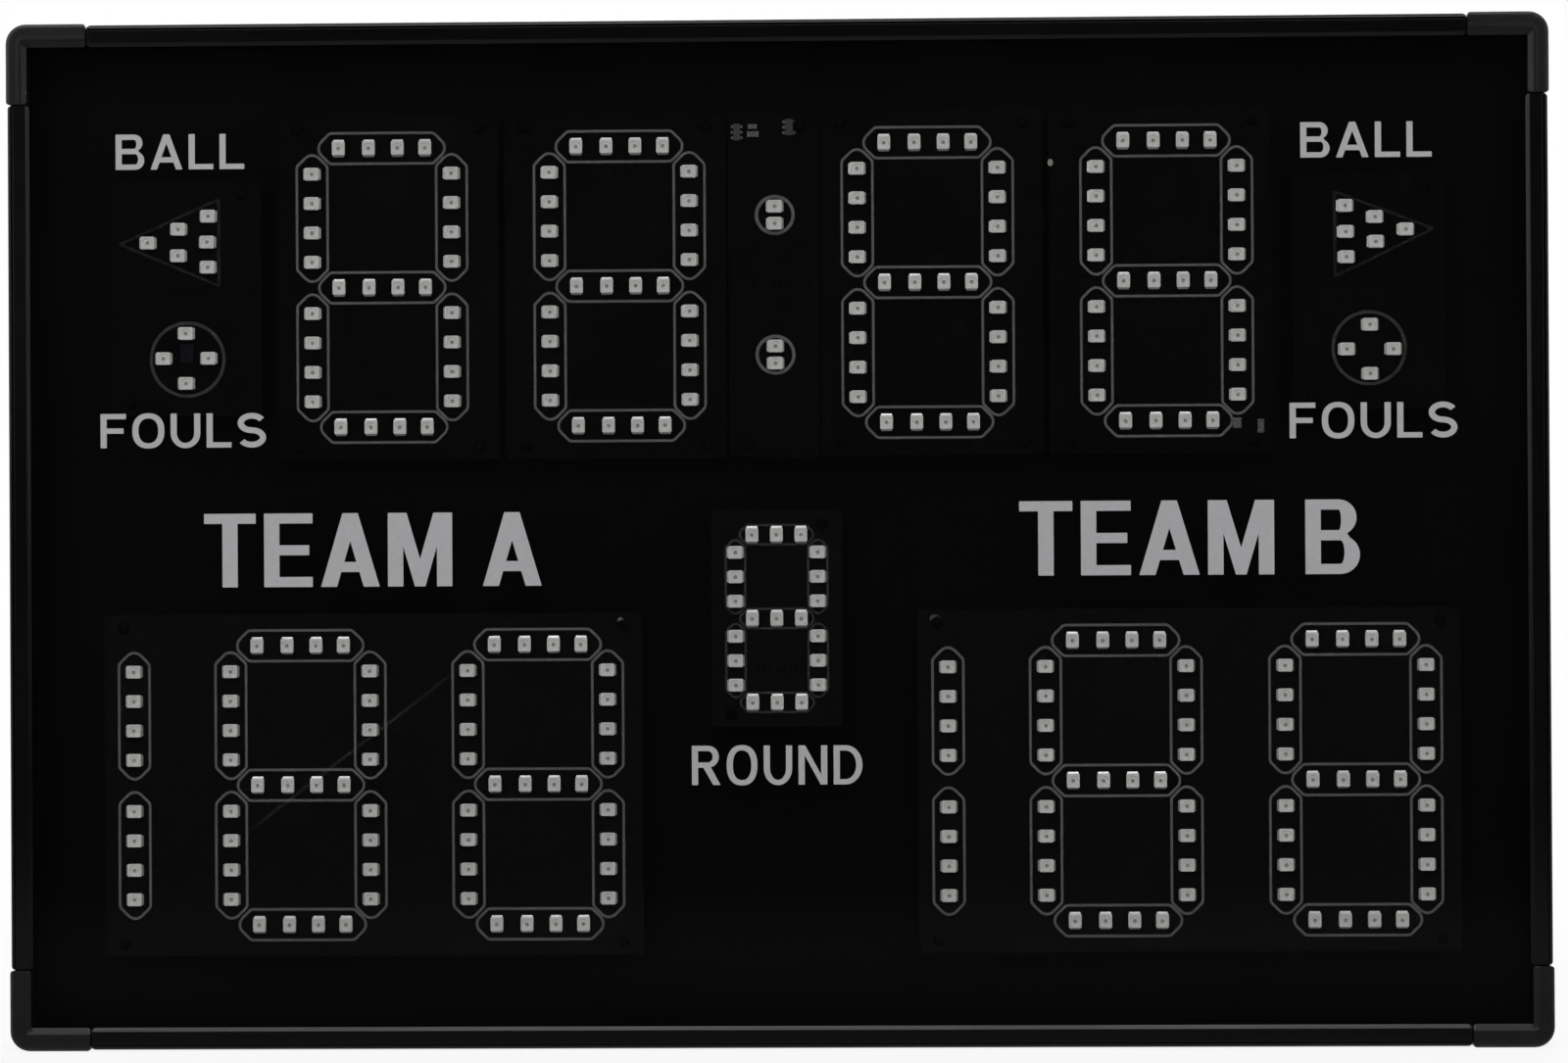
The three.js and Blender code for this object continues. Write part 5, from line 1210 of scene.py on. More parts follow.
def small_parts(node):
    """The small parts and drops on one board's front, and a painted glint on one post's head. Most boards have none.
    """
    if node == "timer_digit_board_4":
        return [*resistor(182.6, 246.5, 3.2, 3.8, False), *resistor(191.9, 245.3, 2.4, 5.0, False),
                dab(109.3, 350.2, circle(0.5, 16) * (2.2, 3.0), 0.4, "chip")]
    if node == "left_score_board":
        return [dab(-62.2, 169.5, circle(1.3, 16), 0.4, "outline")]
    if node == "right_score_board":
        # The dark oval stands for a post's head, and the pale sliver on it is a painted glint where light catches the
        # post.
        painted_glint = rounded([(-1.5, -1.4), (1.5, -1.5), (1.3, 1.6)], 0.3, 2)
        return [dab(62.5, 169.7, circle(0.5, 16) * (4.4, 3.4), 0.3, "chip_body"),
                dab(63.6, 168.8, painted_glint, 0.6, "led")]
    if node == "colon_board":
        return [*small_chip(-15.0, 363.2, 2.6, 6.6, 3), *resistor(-8.6, 362.4, 4.2, 2.2),
                *resistor(-8.8, 365.4, 3.2, 1.8), *small_chip(5.8, 365.0, 3.2, 6.4, 3)]
    if node == "left_indicator_board":
        return [on_board(-234.6, 276.8, 5.2, 7.4, 0.8, 0.05, "blue_part", 0.3, 0.15)]
    return []


def board_plate(node, all_corners, finish):
    """The circuit board itself, with post holes at two of its corners or at all four."""
    low, high = node_box(node)
    x, z = node_middle(node)
    dx, dz = (high[0] - low[0]) / 2 - POST_INSET[0], (high[2] - low[2]) / 2 - POST_INSET[1]
    spots = [(-dx, -dz), (dx, dz)] + ([(dx, -dz), (-dx, dz)] if all_corners else [])
    holes = [circle(POST_HOLE_R, 20) + (x + a, z + b) for a, b in spots]
    return plate(node_outline(node, 1.2, 3), holes, PCB_FRONT, PCB_BACK, finish)


def header_parts(x, z):
    """A pin header: its block behind a board, and two rows of pin ends in front."""
    width, height, deep = HEADER
    parts = [soft_block(x, z, width, height, PCB_BACK - 0.1, PCB_BACK + deep, "header", 0.4, 0.2)]
    profile = [(0.5, PCB_FRONT + 0.1), (0.5, PCB_FRONT - 0.15), (0.2, PCB_FRONT - 0.6)]
    half = HEADER_PINS // 2
    parts += [turned_front(profile, 8, x + k * PIN_PITCH, z + row, "mask")
              for k in range(-half, half + 1) for row in (-PIN_ROW, PIN_ROW)]
    return parts


# Rails and caps as operators


def sizes():
    """The sizes that the scene keeps."""
    return bpy.context.scene.scoreboard_sizes


def mm(value):
    """A length property in millimetres."""
    return value / MM


class SCOREBOARD_OT_rails(bpy.types.Operator):
    """Build the four extruded rails"""

    bl_idname = "scoreboard.rails"
    bl_label = "Rails"

    def execute(self, context):
        for side in ("bottom", "top", "left", "right"):
            part = rail_surface(side, mm(sizes().rail_round))
            piece = build_piece(f"rail_{side}", [part], "anodised", [f"{side}_rail"])
            if side == "right":
                cut_holes(piece, [cutter(circle(ROUND_HOLE_R, 32), INLET_Z),
                                  cutter(circle(ROUND_HOLE_R, 32), BUTTON_Z),
                                  cutter(box_outline(*SWITCH_HOLE), SWITCH_Z)])
        return {"FINISHED"}


class SCOREBOARD_OT_caps(bpy.types.Operator):
    """Build the four moulded corner caps with their tongues"""

    bl_idname = "scoreboard.caps"
    bl_label = "Corner caps"

    def execute(self, context):
        section = cap_section(mm(sizes().cap_round), mm(sizes().cap_groove))
        body = cap_surface(section)
        # The cap's edge tone: partly wear, partly a painted highlight on its outer front edge.
        edge = np.tile(section_edge(section, CAP_FRONT), len(body))
        for level in ("bottom", "top"):
            for side in ("left", "right"):
                right, top = side == "right", level == "top"
                parts = [surface(cap_place(body, right, top), grid_faces(*body.shape[:2]), "cap",
                                 edge)]
                for rings in cap_tongues():
                    for turned in (rings, rings[..., [2, 1, 0]]):
                        parts.append(surface(cap_place(turned, right, top),
                                             grid_faces(*turned.shape[:2]), "cap"))
                build_piece(f"cap_{level}_{side}", parts, "cap", [f"{level}_{side}_cap"],
                            crease=40.0)
        return {"FINISHED"}


# Printed words


def bow(middle, reach, start, end, count=12):
    """Points on an ellipse's arc: the middle plus the two reaches times cosine and sine."""
    angle = np.radians(np.linspace(start, end, count))
    return list(zip(middle[0] + reach[0] * np.cos(angle), middle[1] + reach[1] * np.sin(angle)))


def letter_a(w, h, stem, bar):
    """Two slanting strokes and a bar. A stroke's inner side runs beside its outer side."""
    top, foot = 0.5 * stem, 1.04 * stem
    slope = (w / 2 - top) / h
    low, high = 0.2 * h, 0.2 * h + bar
    inner = [foot + slope * low, foot + slope * high]
    outline = [(0, 0), (foot, 0), (inner[0], low), (w - inner[0], low), (w - foot, 0), (w, 0),
               (w / 2 + top, h), (w / 2 - top, h)]
    return [outline, [(inner[1], high), (w - inner[1], high), (w / 2, (w / 2 - foot) / slope)]]


def letter_b(w, h, stem, bar):
    """A stem and two bowls whose arcs stop short of the waist."""
    waist, upper = 0.52 * h, 0.94 * w
    low, high = waist / 2, (h - waist) / 2
    x, x_up = w - low, upper - high
    outline = [(0, 0), *bow((x, low), (low, low), -90, 62),
               *bow((x_up, waist + high), (high, high), -62, 90), (0, h)]
    holes = []
    bowls = ((x, bar, waist - bar / 2, w), (x_up, waist + bar / 2, h - bar, upper))
    for middle, z0, z1, wide in bowls:
        reach = (wide - stem - middle, (z1 - z0) / 2)
        holes.append([(stem, z0), *bow((middle, (z0 + z1) / 2), reach, -90, 90), (stem, z1)])
    return [outline, *holes]


def letter_d(w, h, stem, bar):
    """A stem and one tall bowl."""
    x = 0.42 * w
    return [[(0, 0), *bow((x, h / 2), (w - x, h / 2), -90, 90, 20), (0, h)],
            [(stem, bar), *bow((x, h / 2), (w - stem - x, h / 2 - bar), -90, 90, 20), (stem, h - bar)]]


def letter_e(w, h, stem, bar):
    """A stem and three bars."""
    low, high, middle = (h - bar) / 2, (h + bar) / 2, 0.93 * w
    return [[(0, 0), (w, 0), (w, bar), (stem, bar), (stem, low), (middle, low), (middle, high),
             (stem, high), (stem, h - bar), (w, h - bar), (w, h), (0, h)]]


def letter_f(w, h, stem, bar):
    """A stem and two bars."""
    low, high, middle = (h - bar) / 2, (h + bar) / 2, 0.9 * w
    return [[(0, 0), (stem, 0), (stem, low), (middle, low), (middle, high), (stem, high),
             (stem, h - bar), (w, h - bar), (w, h), (0, h)]]


def letter_l(w, h, stem, bar):
    """A stem and its foot."""
    return [[(0, 0), (w, 0), (w, bar), (stem, bar), (stem, h), (0, h)]]


def letter_m(w, h, stem, bar):
    """Two stems joined by two strokes that meet at the foot."""
    shoulder, stroke, point = 1.22 * stem, 0.86 * stem, 0.34 * stem
    run = (w / 2 - point - shoulder + stroke) / h
    notch = h - (w / 2 - shoulder) / run
    inside = h - (stem - shoulder + stroke) / run
    return [[(0, 0), (stem, 0), (stem, inside), (w / 2 - point, 0), (w / 2 + point, 0),
             (w - stem, inside), (w - stem, 0), (w, 0), (w, h), (w - shoulder, h), (w / 2, notch),
             (shoulder, h), (0, h)]]


def letter_n(w, h, stem, bar):
    """Two stems joined by one stroke."""
    shoulder, stroke = 1.08 * stem, 0.94 * stem
    run = (stroke + w - 2 * shoulder) / h
    meet = (w - stem - shoulder) / run
    return [[(0, 0), (stem, 0), (stem, meet), (w - shoulder, 0), (w, 0), (w, h), (w - stem, h),
             (w - stem, h - meet), (shoulder, h), (0, h)]]


def letter_o(w, h, stem, bar):
    """Two ovals. The cosine and sine are raised to 0.86, which squares the ovals a little."""
    angle = np.linspace(0, 2 * np.pi, 44, endpoint=False)
    turn = np.stack([np.cos(angle), np.sin(angle)], -1)
    turn = np.sign(turn) * np.abs(turn) ** 0.86
    middle, reach = np.array([w / 2, h / 2]), np.array([w / 2, 0.515 * h])
    return [middle + reach * turn, middle + (reach - (stem, bar)) * turn]


def letter_r(w, h, stem, bar):
    """A stem, one bowl, and a slanting leg."""
    base = 0.44 * h
    high, wide = (h - base) / 2, 0.95 * w
    x = wide - high
    outline = [(0, 0), (stem, 0), (stem, base), (0.4 * w, base), (w - 1.16 * stem, 0), (w, 0),
               (0.66 * w, base + 0.02 * h), *bow((x, base + high), (high, high), -62, 90), (0, h)]
    z0, z1 = base + bar, h - bar
    reach = (wide - stem - x, (z1 - z0) / 2)
    return [outline, [(stem, z0), *bow((x, (z0 + z1) / 2), reach, -90, 90), (stem, z1)]]


def letter_s(w, h, stem, bar):
    """A stroke along two ovals that meet in the middle. Half its thickness is the stem's half at
    the ovals' sides and the bar's half at their tops, joined as an ellipse's radius is."""
    reach, rise = (w - stem) / 2, (h - bar) / 4
    upper, lower = np.radians(np.linspace(28, 270, 26)), np.radians(np.linspace(90, -152, 26))[1:]
    angle = np.concatenate([upper, lower])
    middle = np.concatenate([np.full(26, h / 2 + rise), np.full(25, h / 2 - rise)])
    turn = np.concatenate([np.ones(26), -np.ones(25)])
    spine = np.stack([w / 2 + reach * np.cos(angle), middle + rise * np.sin(angle)], -1)
    across = np.stack([rise * np.cos(angle), reach * np.sin(angle)], -1) * turn[:, None]
    across /= np.linalg.norm(across, axis=1, keepdims=True)
    half = np.hypot(stem / 2 * np.cos(angle), 0.54 * bar * np.sin(angle))[:, None]
    return [np.concatenate([spine + across * half, (spine - across * half)[::-1]])]


def letter_t(w, h, stem, bar):
    """A stem under a bar."""
    left, right = (w - stem) / 2, (w + stem) / 2
    return [[(left, 0), (right, 0), (right, h - bar), (w, h - bar), (w, h), (0, h), (0, h - bar),
             (left, h - bar)]]


def letter_u(w, h, stem, bar):
    """Two stems joined by half an oval below."""
    deep = 0.42 * h
    return [[(0, h), *bow((w / 2, deep), (w / 2, 1.03 * deep), 180, 360, 20), (w, h), (w - stem, h),
             *bow((w / 2, deep), (w / 2 - stem, 1.03 * deep - bar), 360, 180, 20), (stem, h)]]


# Each letter's width as a share of its height, and what draws it
LETTERS = {
    "A": (0.93, letter_a), "B": (0.84, letter_b), "D": (0.87, letter_d), "E": (0.77, letter_e),
    "F": (0.74, letter_f), "L": (0.72, letter_l), "M": (1.02, letter_m), "N": (0.87, letter_n),
    "O": (0.93, letter_o), "R": (0.86, letter_r), "S": (0.82, letter_s), "T": (0.82, letter_t),
    "U": (0.86, letter_u), " ": (0.22, None),
}
# The width of a stem and a bar, and the gap between letters
LARGE, SMALL = (6.1, 4.0, 3.3), (2.45, 2.1, 2.5)
LEGENDS = (
    # word, middle X, middle Z, width, height and strokes
    ("TEAM A", -160.0, 198.2, 134.0, 29.2, LARGE),
    ("TEAM B", 162.9, 201.2, 134.0, 29.4, LARGE),
    ("ROUND", -0.2, 112.2, 67.4, 15.5, SMALL),
    ("BALL", -235.9, 356.6, 51.2, 14.0, SMALL),
    ("BALL", 233.2, 357.7, 51.6, 14.0, SMALL),
    ("FOULS", -235.1, 245.9, 65.9, 13.6, SMALL),
    ("FOULS", 235.5, 247.1, 65.9, 14.0, SMALL),
)


def legend(word, x, z, width, height, strokes, thickness):
    """A word on the panel's front. Its letters share what the gaps leave of the width."""
    stem, bar, gap = strokes
    shares = np.array([LETTERS[mark][0] for mark in word])
    widths = shares * (width - gap * (len(word) - 1)) / shares.sum()
    starts = x - width / 2 + np.cumsum(widths + gap) - widths - gap
    front = PANEL_FRONT + 0.01
    parts = []
    for mark, left, wide in zip(word, starts, widths):
        draw = LETTERS[mark][1]
        if draw:
            loops = [np.array(loop) + (left, z - height / 2) for loop in draw(wide, height, stem, bar)]
            parts.append(plate(loops[0], loops[1:], front - thickness, front, "legend"))
    return parts


# Panel and boards as operators


class SCOREBOARD_OT_panel(bpy.types.Operator):
    """Build the smoked front panel and its printed words"""

    bl_idname = "scoreboard.panel"
    bl_label = "Front panel"

    def execute(self, context):
        node = "front_panel"
        sheet = plate(node_outline(node, 3.3, 4), [], *node_depths(node), "panel", 0.2)
        build_piece("smoked_panel", [sheet], "panel", [node], crease=20.0)
        words = [part for row in LEGENDS for part in legend(*row, mm(sizes().print_t))]
        build_piece("panel_words", words, "panel", weld=0.0005)
        return {"FINISHED"}


class SCOREBOARD_OT_boards(bpy.types.Operator):
    """Build the LED boards with their packages, printed outlines and small parts"""

    bl_idname = "scoreboard.boards"
    bl_label = "LED boards"

    def board(self, node, spots, strips, header, all_corners=False):
        """Joins a board's plate, LEDs, pads, printed outlines, header and small parts."""
        pale = "score" in node or "small" in node
        parts = [board_plate(node, all_corners, "score_mask" if pale else "mask"),
                 *repeat(*led_template(mm(sizes().led_recess)), spots),
                 *repeat(*pad_template(), spots), *strips, *header_parts(*header),
                 *small_parts(node)]
        build_piece(f"lit_{node}", parts, "board", [node], weld=0.002, crease=30.0)

    def timers(self, digit):
        """Four boards with one large digit each."""
        for number, (x, z) in enumerate(TIMER_DIGITS, 1):
            node = f"timer_digit_board_{number}"
            self.board(node, led_spots_digit(x, z), digit_strips(x, z, *digit),
                       (node_middle(node)[0], TIMER_Z), True)

    def scores(self, digit, segment):
        """Two boards with a leading one and two large digits each."""
        for side, (one_x, digits, z) in zip(("left", "right"), SCORES):
            node = f"{side}_score_board"
            spots = led_spots_one(one_x, z)
            strips = [segment_strip(one_x, z + half * ROW_SPACING, False, *segment)
                      for half in (-0.5, 0.5)]
            for x in digits:
                spots += led_spots_digit(x, z)
                strips += digit_strips(x, z, *digit)
            self.board(node, spots, strips, (node_middle(node)[0], SCORE_Z), True)

    def small_digit(self, line):
        """The board with the small digit."""
        strips = digit_strips(*SMALL_MIDDLE, SMALL_COLUMNS, SMALL_ROWS, 0.0, *SMALL_SEGMENT,
                              THIN_LINE * line, "dim_print")
        self.board("small_digit_board", led_spots_small(*SMALL_MIDDLE), strips, SMALL_HEADER)

    def colon(self, line):
        """The board between the timer's digits, with two printed rings."""
        node = "colon_board"
        rings = [ring_strip(COLON_PRINT_X, TIMER_Z + half * ROW_SPACING, COLON_PRINT_R,
                            RING_LINE * line, "outline") for half in (-0.5, 0.5)]
        self.board(node, led_spots_colon(), rings, (node_middle(node)[0], TIMER_Z))

    def indicators(self, line):
        """Two side boards, each with a triangle over a circle."""
        for side, mark in MARKS.items():
            node = f"{side}_indicator_board"
            strips = [triangle_strip(mark["triangle"], line, "faint"),
                      ring_strip(*mark["circle"], RING_LINE * line, "dim_print")]
            self.board(node, led_spots_mark(mark), strips, (node_middle(node)[0], TIMER_Z))

    def execute(self, context):
        line = mm(sizes().outline_w)
        segment = (mm(sizes().segment_w), mm(sizes().segment_l), mm(sizes().segment_tip), line)
        digit = (COLUMN_SPACING, ROW_SPACING, BOTTOM_ROW_SHIFT, *segment)
        self.timers(digit)
        self.scores(digit, segment)
        self.small_digit(line)
        self.colon(line)
        self.indicators(line)
        return {"FINISHED"}


# Back


def dome(x):
    """Height of a pan head from its seat, as a share, at a share of its radius."""
    return np.sqrt(np.clip(1 - 0.9 * x ** 4, 0, 1))


def cross_recess(x, z, depth, arm=1.55, half=0.42):
    """Depth of a cross recess: deep where a point is near either arm and not past its end."""
    near = np.minimum(np.abs(x), np.abs(z))
    far = np.maximum(np.abs(x), np.abs(z))
    inside = np.clip((half - near) / 0.16 + 0.5, 0, 1) * np.clip((arm - far) / 0.3 + 0.5, 0, 1)
    return depth * inside * (1 - 0.45 * far / arm)


def screw_head(x, z, seat, radius, height, sink, finish):
    """A head on a polar grid: height falls from the middle to the rim, less a cross recess.
    Sink is the head's cone depth below the seat, and 0 for a pan head."""
    sides, rings = 40, 13
    radii = radius * np.linspace(1, 0.02, rings)
    angle = np.linspace(0, 2 * np.pi, sides, endpoint=False)
    local_x = radii[:, None] * np.cos(angle)
    local_z = radii[:, None] * np.sin(angle)
    level = height * dome(radii / radius)[:, None] - cross_recess(local_x, local_z, 0.75)
    top = np.stack([x + local_x, seat + level, z + local_z], -1)
    foot_r = 1.5 if sink > 0 else radius
    foot = upright(circle(foot_r, sides), x, z, seat - sink)[None]
    return surface(np.concatenate([foot, top]), grid_faces(rings + 1, sides), finish)


def screw_shank(x, z, start, end, finish):
    """A threaded shank: the radius follows a triangle wave of height along the axis less the
    turn, so that the crests run as a helix."""
    sides, pitch, crest, depth = 16, 0.8, 1.5, 0.24
    steps = max(int((end - start) / (pitch / 4)), 4)
    y = np.linspace(start, end, steps)[:, None]
    angle = np.linspace(0, 2 * np.pi, sides, endpoint=False)[None, :]
    phase = (y / pitch - angle / (2 * np.pi)) % 1
    radius = crest - depth * np.abs(2 * phase - 1)
    radius = radius * np.clip((y - start) / 1.2 + 0.35, 0, 1)
    points = np.stack([x + radius * np.cos(angle), np.broadcast_to(y, radius.shape),
                       z + radius * np.sin(angle)], -1)
    return surface(points, grid_faces(steps, sides), finish)


def screw_parts(node, finish, sink=0.0):
    """A screw that fills its CAD node's box, its head towards the back."""
    front, back = node_depths(node)
    x, z = node_middle(node)
    if sink > 0:
        head = screw_head(x, z, back - 0.02, 3.2, 0.02, sink, finish)
        neck = back - sink + 0.1
    else:
        head = screw_head(x, z, back - 1.2, 2.8, 1.2, 0.0, finish)
        neck = back - 1.1
    return [head, screw_shank(x, z, front, neck, finish)]


def keyhole_outline(x, mouth_z, rise, mouth_r=5.0, slot_r=2.5):
    """A round mouth with a narrower slot above it, as one outline. The two circles' arcs meet
    where the slot's straight sides leave the mouth."""
    meet = math.acos(slot_r / mouth_r)
    low = np.linspace(np.pi - meet, 2 * np.pi + meet, 29)
    top = np.linspace(0, np.pi, 13)
    mouth = np.stack([mouth_r * np.cos(low), mouth_r * np.sin(low)], -1)
    slot = np.stack([slot_r * np.cos(top), rise + slot_r * np.sin(top)], -1)
    return np.concatenate([mouth, slot]) + (x, mouth_z)


# A keyhole: how far its mouth lies below its plate's middle, and its slot's top above its mouth
MOUTH_DROP, SLOT_RISE = 5.5, 8.5
# The cover's window behind a keyhole, from its mouth's middle
WINDOW_HALF_W, WINDOW_DOWN, WINDOW_UP = 7.5, 7.5, 13.5
SCREWS = {"cover": 10, "horn": 4}
SCREW_HOLE_R, GRILLE_HOLE_R, SINK_R = 1.8, 2.2, 3.4
GRILLE_PITCH = 9.0


def black_screws():
    """The cover's and the horn's screws: each piece's name and the node that it replaces."""
    return {f"screw_{kind}_{k}": f"{kind}_screw_{k}" for kind, count in SCREWS.items()
            for k in range(1, count + 1)}


def grille_holes(x, z):
    """One hole and two rings of holes round it, of six and twelve."""
    holes = [circle(GRILLE_HOLE_R, 24) + (x, z)]
    for ring in (1, 2):
        holes += [holes[0] + spot for spot in circle(GRILLE_PITCH * ring, 6 * ring)]
    return holes


def hanger_window(x, z):
    """The cover's opening behind a keyhole, which lets a wall screw's head in."""
    low, high = z - MOUTH_DROP - WINDOW_DOWN, z - MOUTH_DROP + WINDOW_UP
    left, right = x - WINDOW_HALF_W, x + WINDOW_HALF_W
    return rounded([(left, low), (right, low), (right, high), (left, high)], 0.8, 3)


class SCOREBOARD_OT_cover(bpy.types.Operator):
    """Build the rear cover with its grille, windows and screw holes"""

    bl_idname = "scoreboard.cover"
    bl_label = "Rear cover"

    def execute(self, context):
        node = "rear_cover"
        screw_hole = circle(SCREW_HOLE_R, 20)
        holes = [screw_hole + node_middle(screw) for screw in black_screws().values()]
        holes += grille_holes(*node_middle("horn_cone"))
        for side in ("left", "right"):
            holes += [screw_hole + node_middle(f"{side}_hanger_screw_{k}") for k in (1, 2)]
            holes.append(hanger_window(*node_middle(f"{side}_hanger_plate")))
        sheet = plate(node_outline(node, 4.6, 5), holes, *node_depths(node), "cover", 0.25)
        build_piece("cover_sheet", [sheet], "cover", [node], crease=20.0)
        return {"FINISHED"}


class SCOREBOARD_OT_fixings(bpy.types.Operator):
    """Build the screws and the hanger plates"""

    bl_idname = "scoreboard.fixings"
    bl_label = "Screws and hangers"

    def execute(self, context):
        for name, screw in black_screws().items():
            build_piece(name, screw_parts(screw, "black_screw"), "black_screw", [screw],
                        weld=0.001)
        for side in ("left", "right"):
            node = f"{side}_hanger_plate"
            x, z = node_middle(node)
            holes = [keyhole_outline(x, z - MOUTH_DROP, SLOT_RISE)]
            holes += [circle(SINK_R, 32) + node_middle(f"{side}_hanger_screw_{k}") for k in (1, 2)]
            sheet = plate(node_outline(node, 4.0, 5), holes, *node_depths(node), "zinc", 0.15)
            build_piece(f"hanger_{side}", [sheet], "steel", [node], crease=20.0)
            for k in (1, 2):
                screw = f"{side}_hanger_screw_{k}"
                build_piece(f"screw_hanger_{side}_{k}", screw_parts(screw, "zinc", 1.1), "steel",
                            [screw], weld=0.001)
        return {"FINISHED"}


# Side controls

# How far the flanges' faces, their seats and the rocker's pivot lie out from the rail
FACE_OUT, SEAT_OUT, PIVOT_OUT = 1.5, 0.3, -2.0
ROCKER_TILT = math.radians(11)
ROCKER_HALF, ROCKER_RISE, ROCKER_DIP = 7.5, 2.4, 0.9


def rocker_place(along, high, across):
    """Turns rocker points by its rest tilt about the pivot. Along is towards +Z when level."""
    out = PIVOT_OUT + high * math.cos(ROCKER_TILT) + along * math.sin(ROCKER_TILT)
    up = along * math.cos(ROCKER_TILT) - high * math.sin(ROCKER_TILT)
    return np.stack([RAIL_OUT_X + out, SIDE_MIDDLE_Y + across, SWITCH_Z + up], -1)


def rocker_top(along):
    """The height of a rocker's top above its pivot: a dip whose depth follows the share of the
    half length to the power 1.4."""
    return ROCKER_RISE + ROCKER_DIP * (np.abs(along) / ROCKER_HALF) ** 1.4


def rocker_profile():
    """A rocker's side outline about its pivot: two raised ends and a dip between them."""
    along = np.linspace(ROCKER_HALF, -ROCKER_HALF, 13)
    crown = np.stack([along, rocker_top(along)], -1)
    half = ROCKER_HALF / 2
    under = np.array([(-ROCKER_HALF, 0.0), (-half, -3.0), (half, -3.0), (ROCKER_HALF, 0.0)])
    outline = np.concatenate([crown, under])
    radii = np.zeros(len(outline))
    radii[[0, 12]] = 0.5
    radii[13:] = 0.4
    return rounded(outline, radii, 3)


class SCOREBOARD_OT_controls(bpy.types.Operator):
    """Build the inlet, the rocker switch and the pairing button on the right side"""

    bl_idname = "scoreboard.controls"
    bl_label = "Side controls"

    def inlet(self):
        """A round socket with a pin at its middle."""
        floor = FACE_OUT - 9.0
        profile = [(0, -13), (4.9, -13), (5.2, -12.6), (5.2, SEAT_OUT), (6.5, SEAT_OUT),
                   (6.5, FACE_OUT - 0.4), (6.15, FACE_OUT), (3.5, FACE_OUT), (3.1, FACE_OUT - 0.35),
                   (3.1, floor), (0, floor)]
        pin = [(0, floor - 0.3), (1.05, floor - 0.3), (1.05, floor + 7.4), (0.6, floor + 8),
               (0, floor + 8)]
        parts = [turned_side(profile, 48, INLET_Z, "plastic"),
                 turned_side(pin, 20, INLET_Z, "nickel")]
        build_piece("inlet_socket", parts, "plastic", ["dc_inlet"])

    def housing(self):
        """A flanged box that is open outwards."""
        face, seat = FACE_OUT, SEAT_OUT
        levels = [
            (11.0, 18.2, 0.6, -14.0), (11.4, 18.6, 0.8, -13.7), (11.4, 18.6, 0.8, seat),
            (13.0, 20.6, 1.6, seat), (13.0, 20.6, 1.6, face - 0.5), (12.3, 19.9, 1.3, face),
            (9.4, 17.0, 0.7, face), (9.0, 16.6, 0.5, face - 0.3), (9.0, 16.6, 0.5, face - 8.0)]
        rings = [sideways(box_outline(w, h, r, 4), SWITCH_Z, out) for w, h, r, out in levels]
        build_piece("switch_body", [stack(rings, "plastic")], "plastic", ["switch_housing"])

    def rocker(self):
        """The paddle, whose sides are drawn in at their edges, and its axle."""
        outline = rocker_profile()
        middle = np.array([0.0, 0.2])
        rings = []
        for across, inset in ((-4.2, 0.25), (-4.05, 0.07), (-3.9, 0.0),
                              (3.9, 0.0), (4.05, 0.07), (4.2, 0.25)):
            ring = middle + (outline - middle) * (1 - inset / np.array([ROCKER_HALF, 3.0]))
            rings.append(rocker_place(ring[:, 0], ring[:, 1], np.full(len(ring), across)))
        axle = circle(1.1, 20)
        pin = [rocker_place(axle[:, 0], axle[:, 1], np.full(20, a)) for a in (-5.3, 5.3)]
        parts = [stack(rings, "rocker"), stack(pin, "rocker")]
        build_piece("rocker_paddle", parts, "plastic", ["power_rocker"], ROCKER_BODY)

    def marks(self):
        """A ring and a bar that lie on the rocker's two slopes."""
        reach, sunk, proud = 4.2, -0.02, 0.03

        def on_slope(outline, at, lift):
            along = at + outline[:, 1]
            return rocker_place(along, rocker_top(along) + lift, outline[:, 0])

        outer, inner = circle(1.25, 32), circle(0.85, 32)
        ring = np.stack([on_slope(outer, -reach, sunk), on_slope(outer, -reach, proud),
                         on_slope(inner, -reach, proud), on_slope(inner, -reach, sunk)])
        bar = box_outline(0.45, 2.6, 0.1, 2)
        line = np.stack([on_slope(bar, reach, sunk), on_slope(bar, reach, proud)])
        parts = [surface(ring, ring_faces(4, 32), "mark"),
                 surface(line, grid_faces(*line.shape[:2]), "mark")]
        build_piece("rocker_marks", parts, "plastic", (), ROCKER_BODY, weld=0.0005)

    def button(self):
        """The button's bezel, and the key with its domed top."""
        profile = [(0, -10), (4.9, -10), (5.2, -9.7), (5.2, SEAT_OUT), (6.0, SEAT_OUT),
                   (6.0, FACE_OUT - 0.4), (5.65, FACE_OUT), (3.3, FACE_OUT), (3.0, FACE_OUT - 0.3),
                   (3.0, -2.4), (4.0, -2.4), (4.0, -7.4), (0, -7.4)]
        build_piece("button_bezel", [turned_side(profile, 48, BUTTON_Z, "plastic")], "plastic",
                    ["button_housing"])
        curve = np.linspace(0, np.pi / 2, 6)
        cap = [(2.2 + 0.5 * math.cos(a), 2.5 + 0.32 * math.sin(a)) for a in curve]
        crown = [(r, 2.82 + 0.18 * (1 - (r / 2.2) ** 2)) for r in (1.8, 1.2, 0.6, 0.0)]
        key = [(0, -3.9), (3.6, -3.9), (3.6, -2.7), (2.7, -2.7), *cap, *crown]
        build_piece("button_key", [turned_side(key, 40, BUTTON_Z, "rocker")], "plastic",
                    ["pairing_button"], BUTTON_BODY)

    def execute(self, context):
        self.inlet()
        self.housing()
        self.rocker()
        self.marks()
        self.button()
        return {"FINISHED"}


# Carried-over nodes

NODE_FINISHES = {
    "display_tray": "tray", "upper_harness": "ribbon", "lower_harness": "ribbon",
    "control_board": "control", "receiver_module": "control", "aerial_wire": "lead",
    "horn_frame": "plastic", "horn_cone": "cone", "horn_magnet": "steel", "inlet_nut": "steel",
    "inlet_lead": "lead", "supply_lead": "lead", "horn_lead": "lead",
}


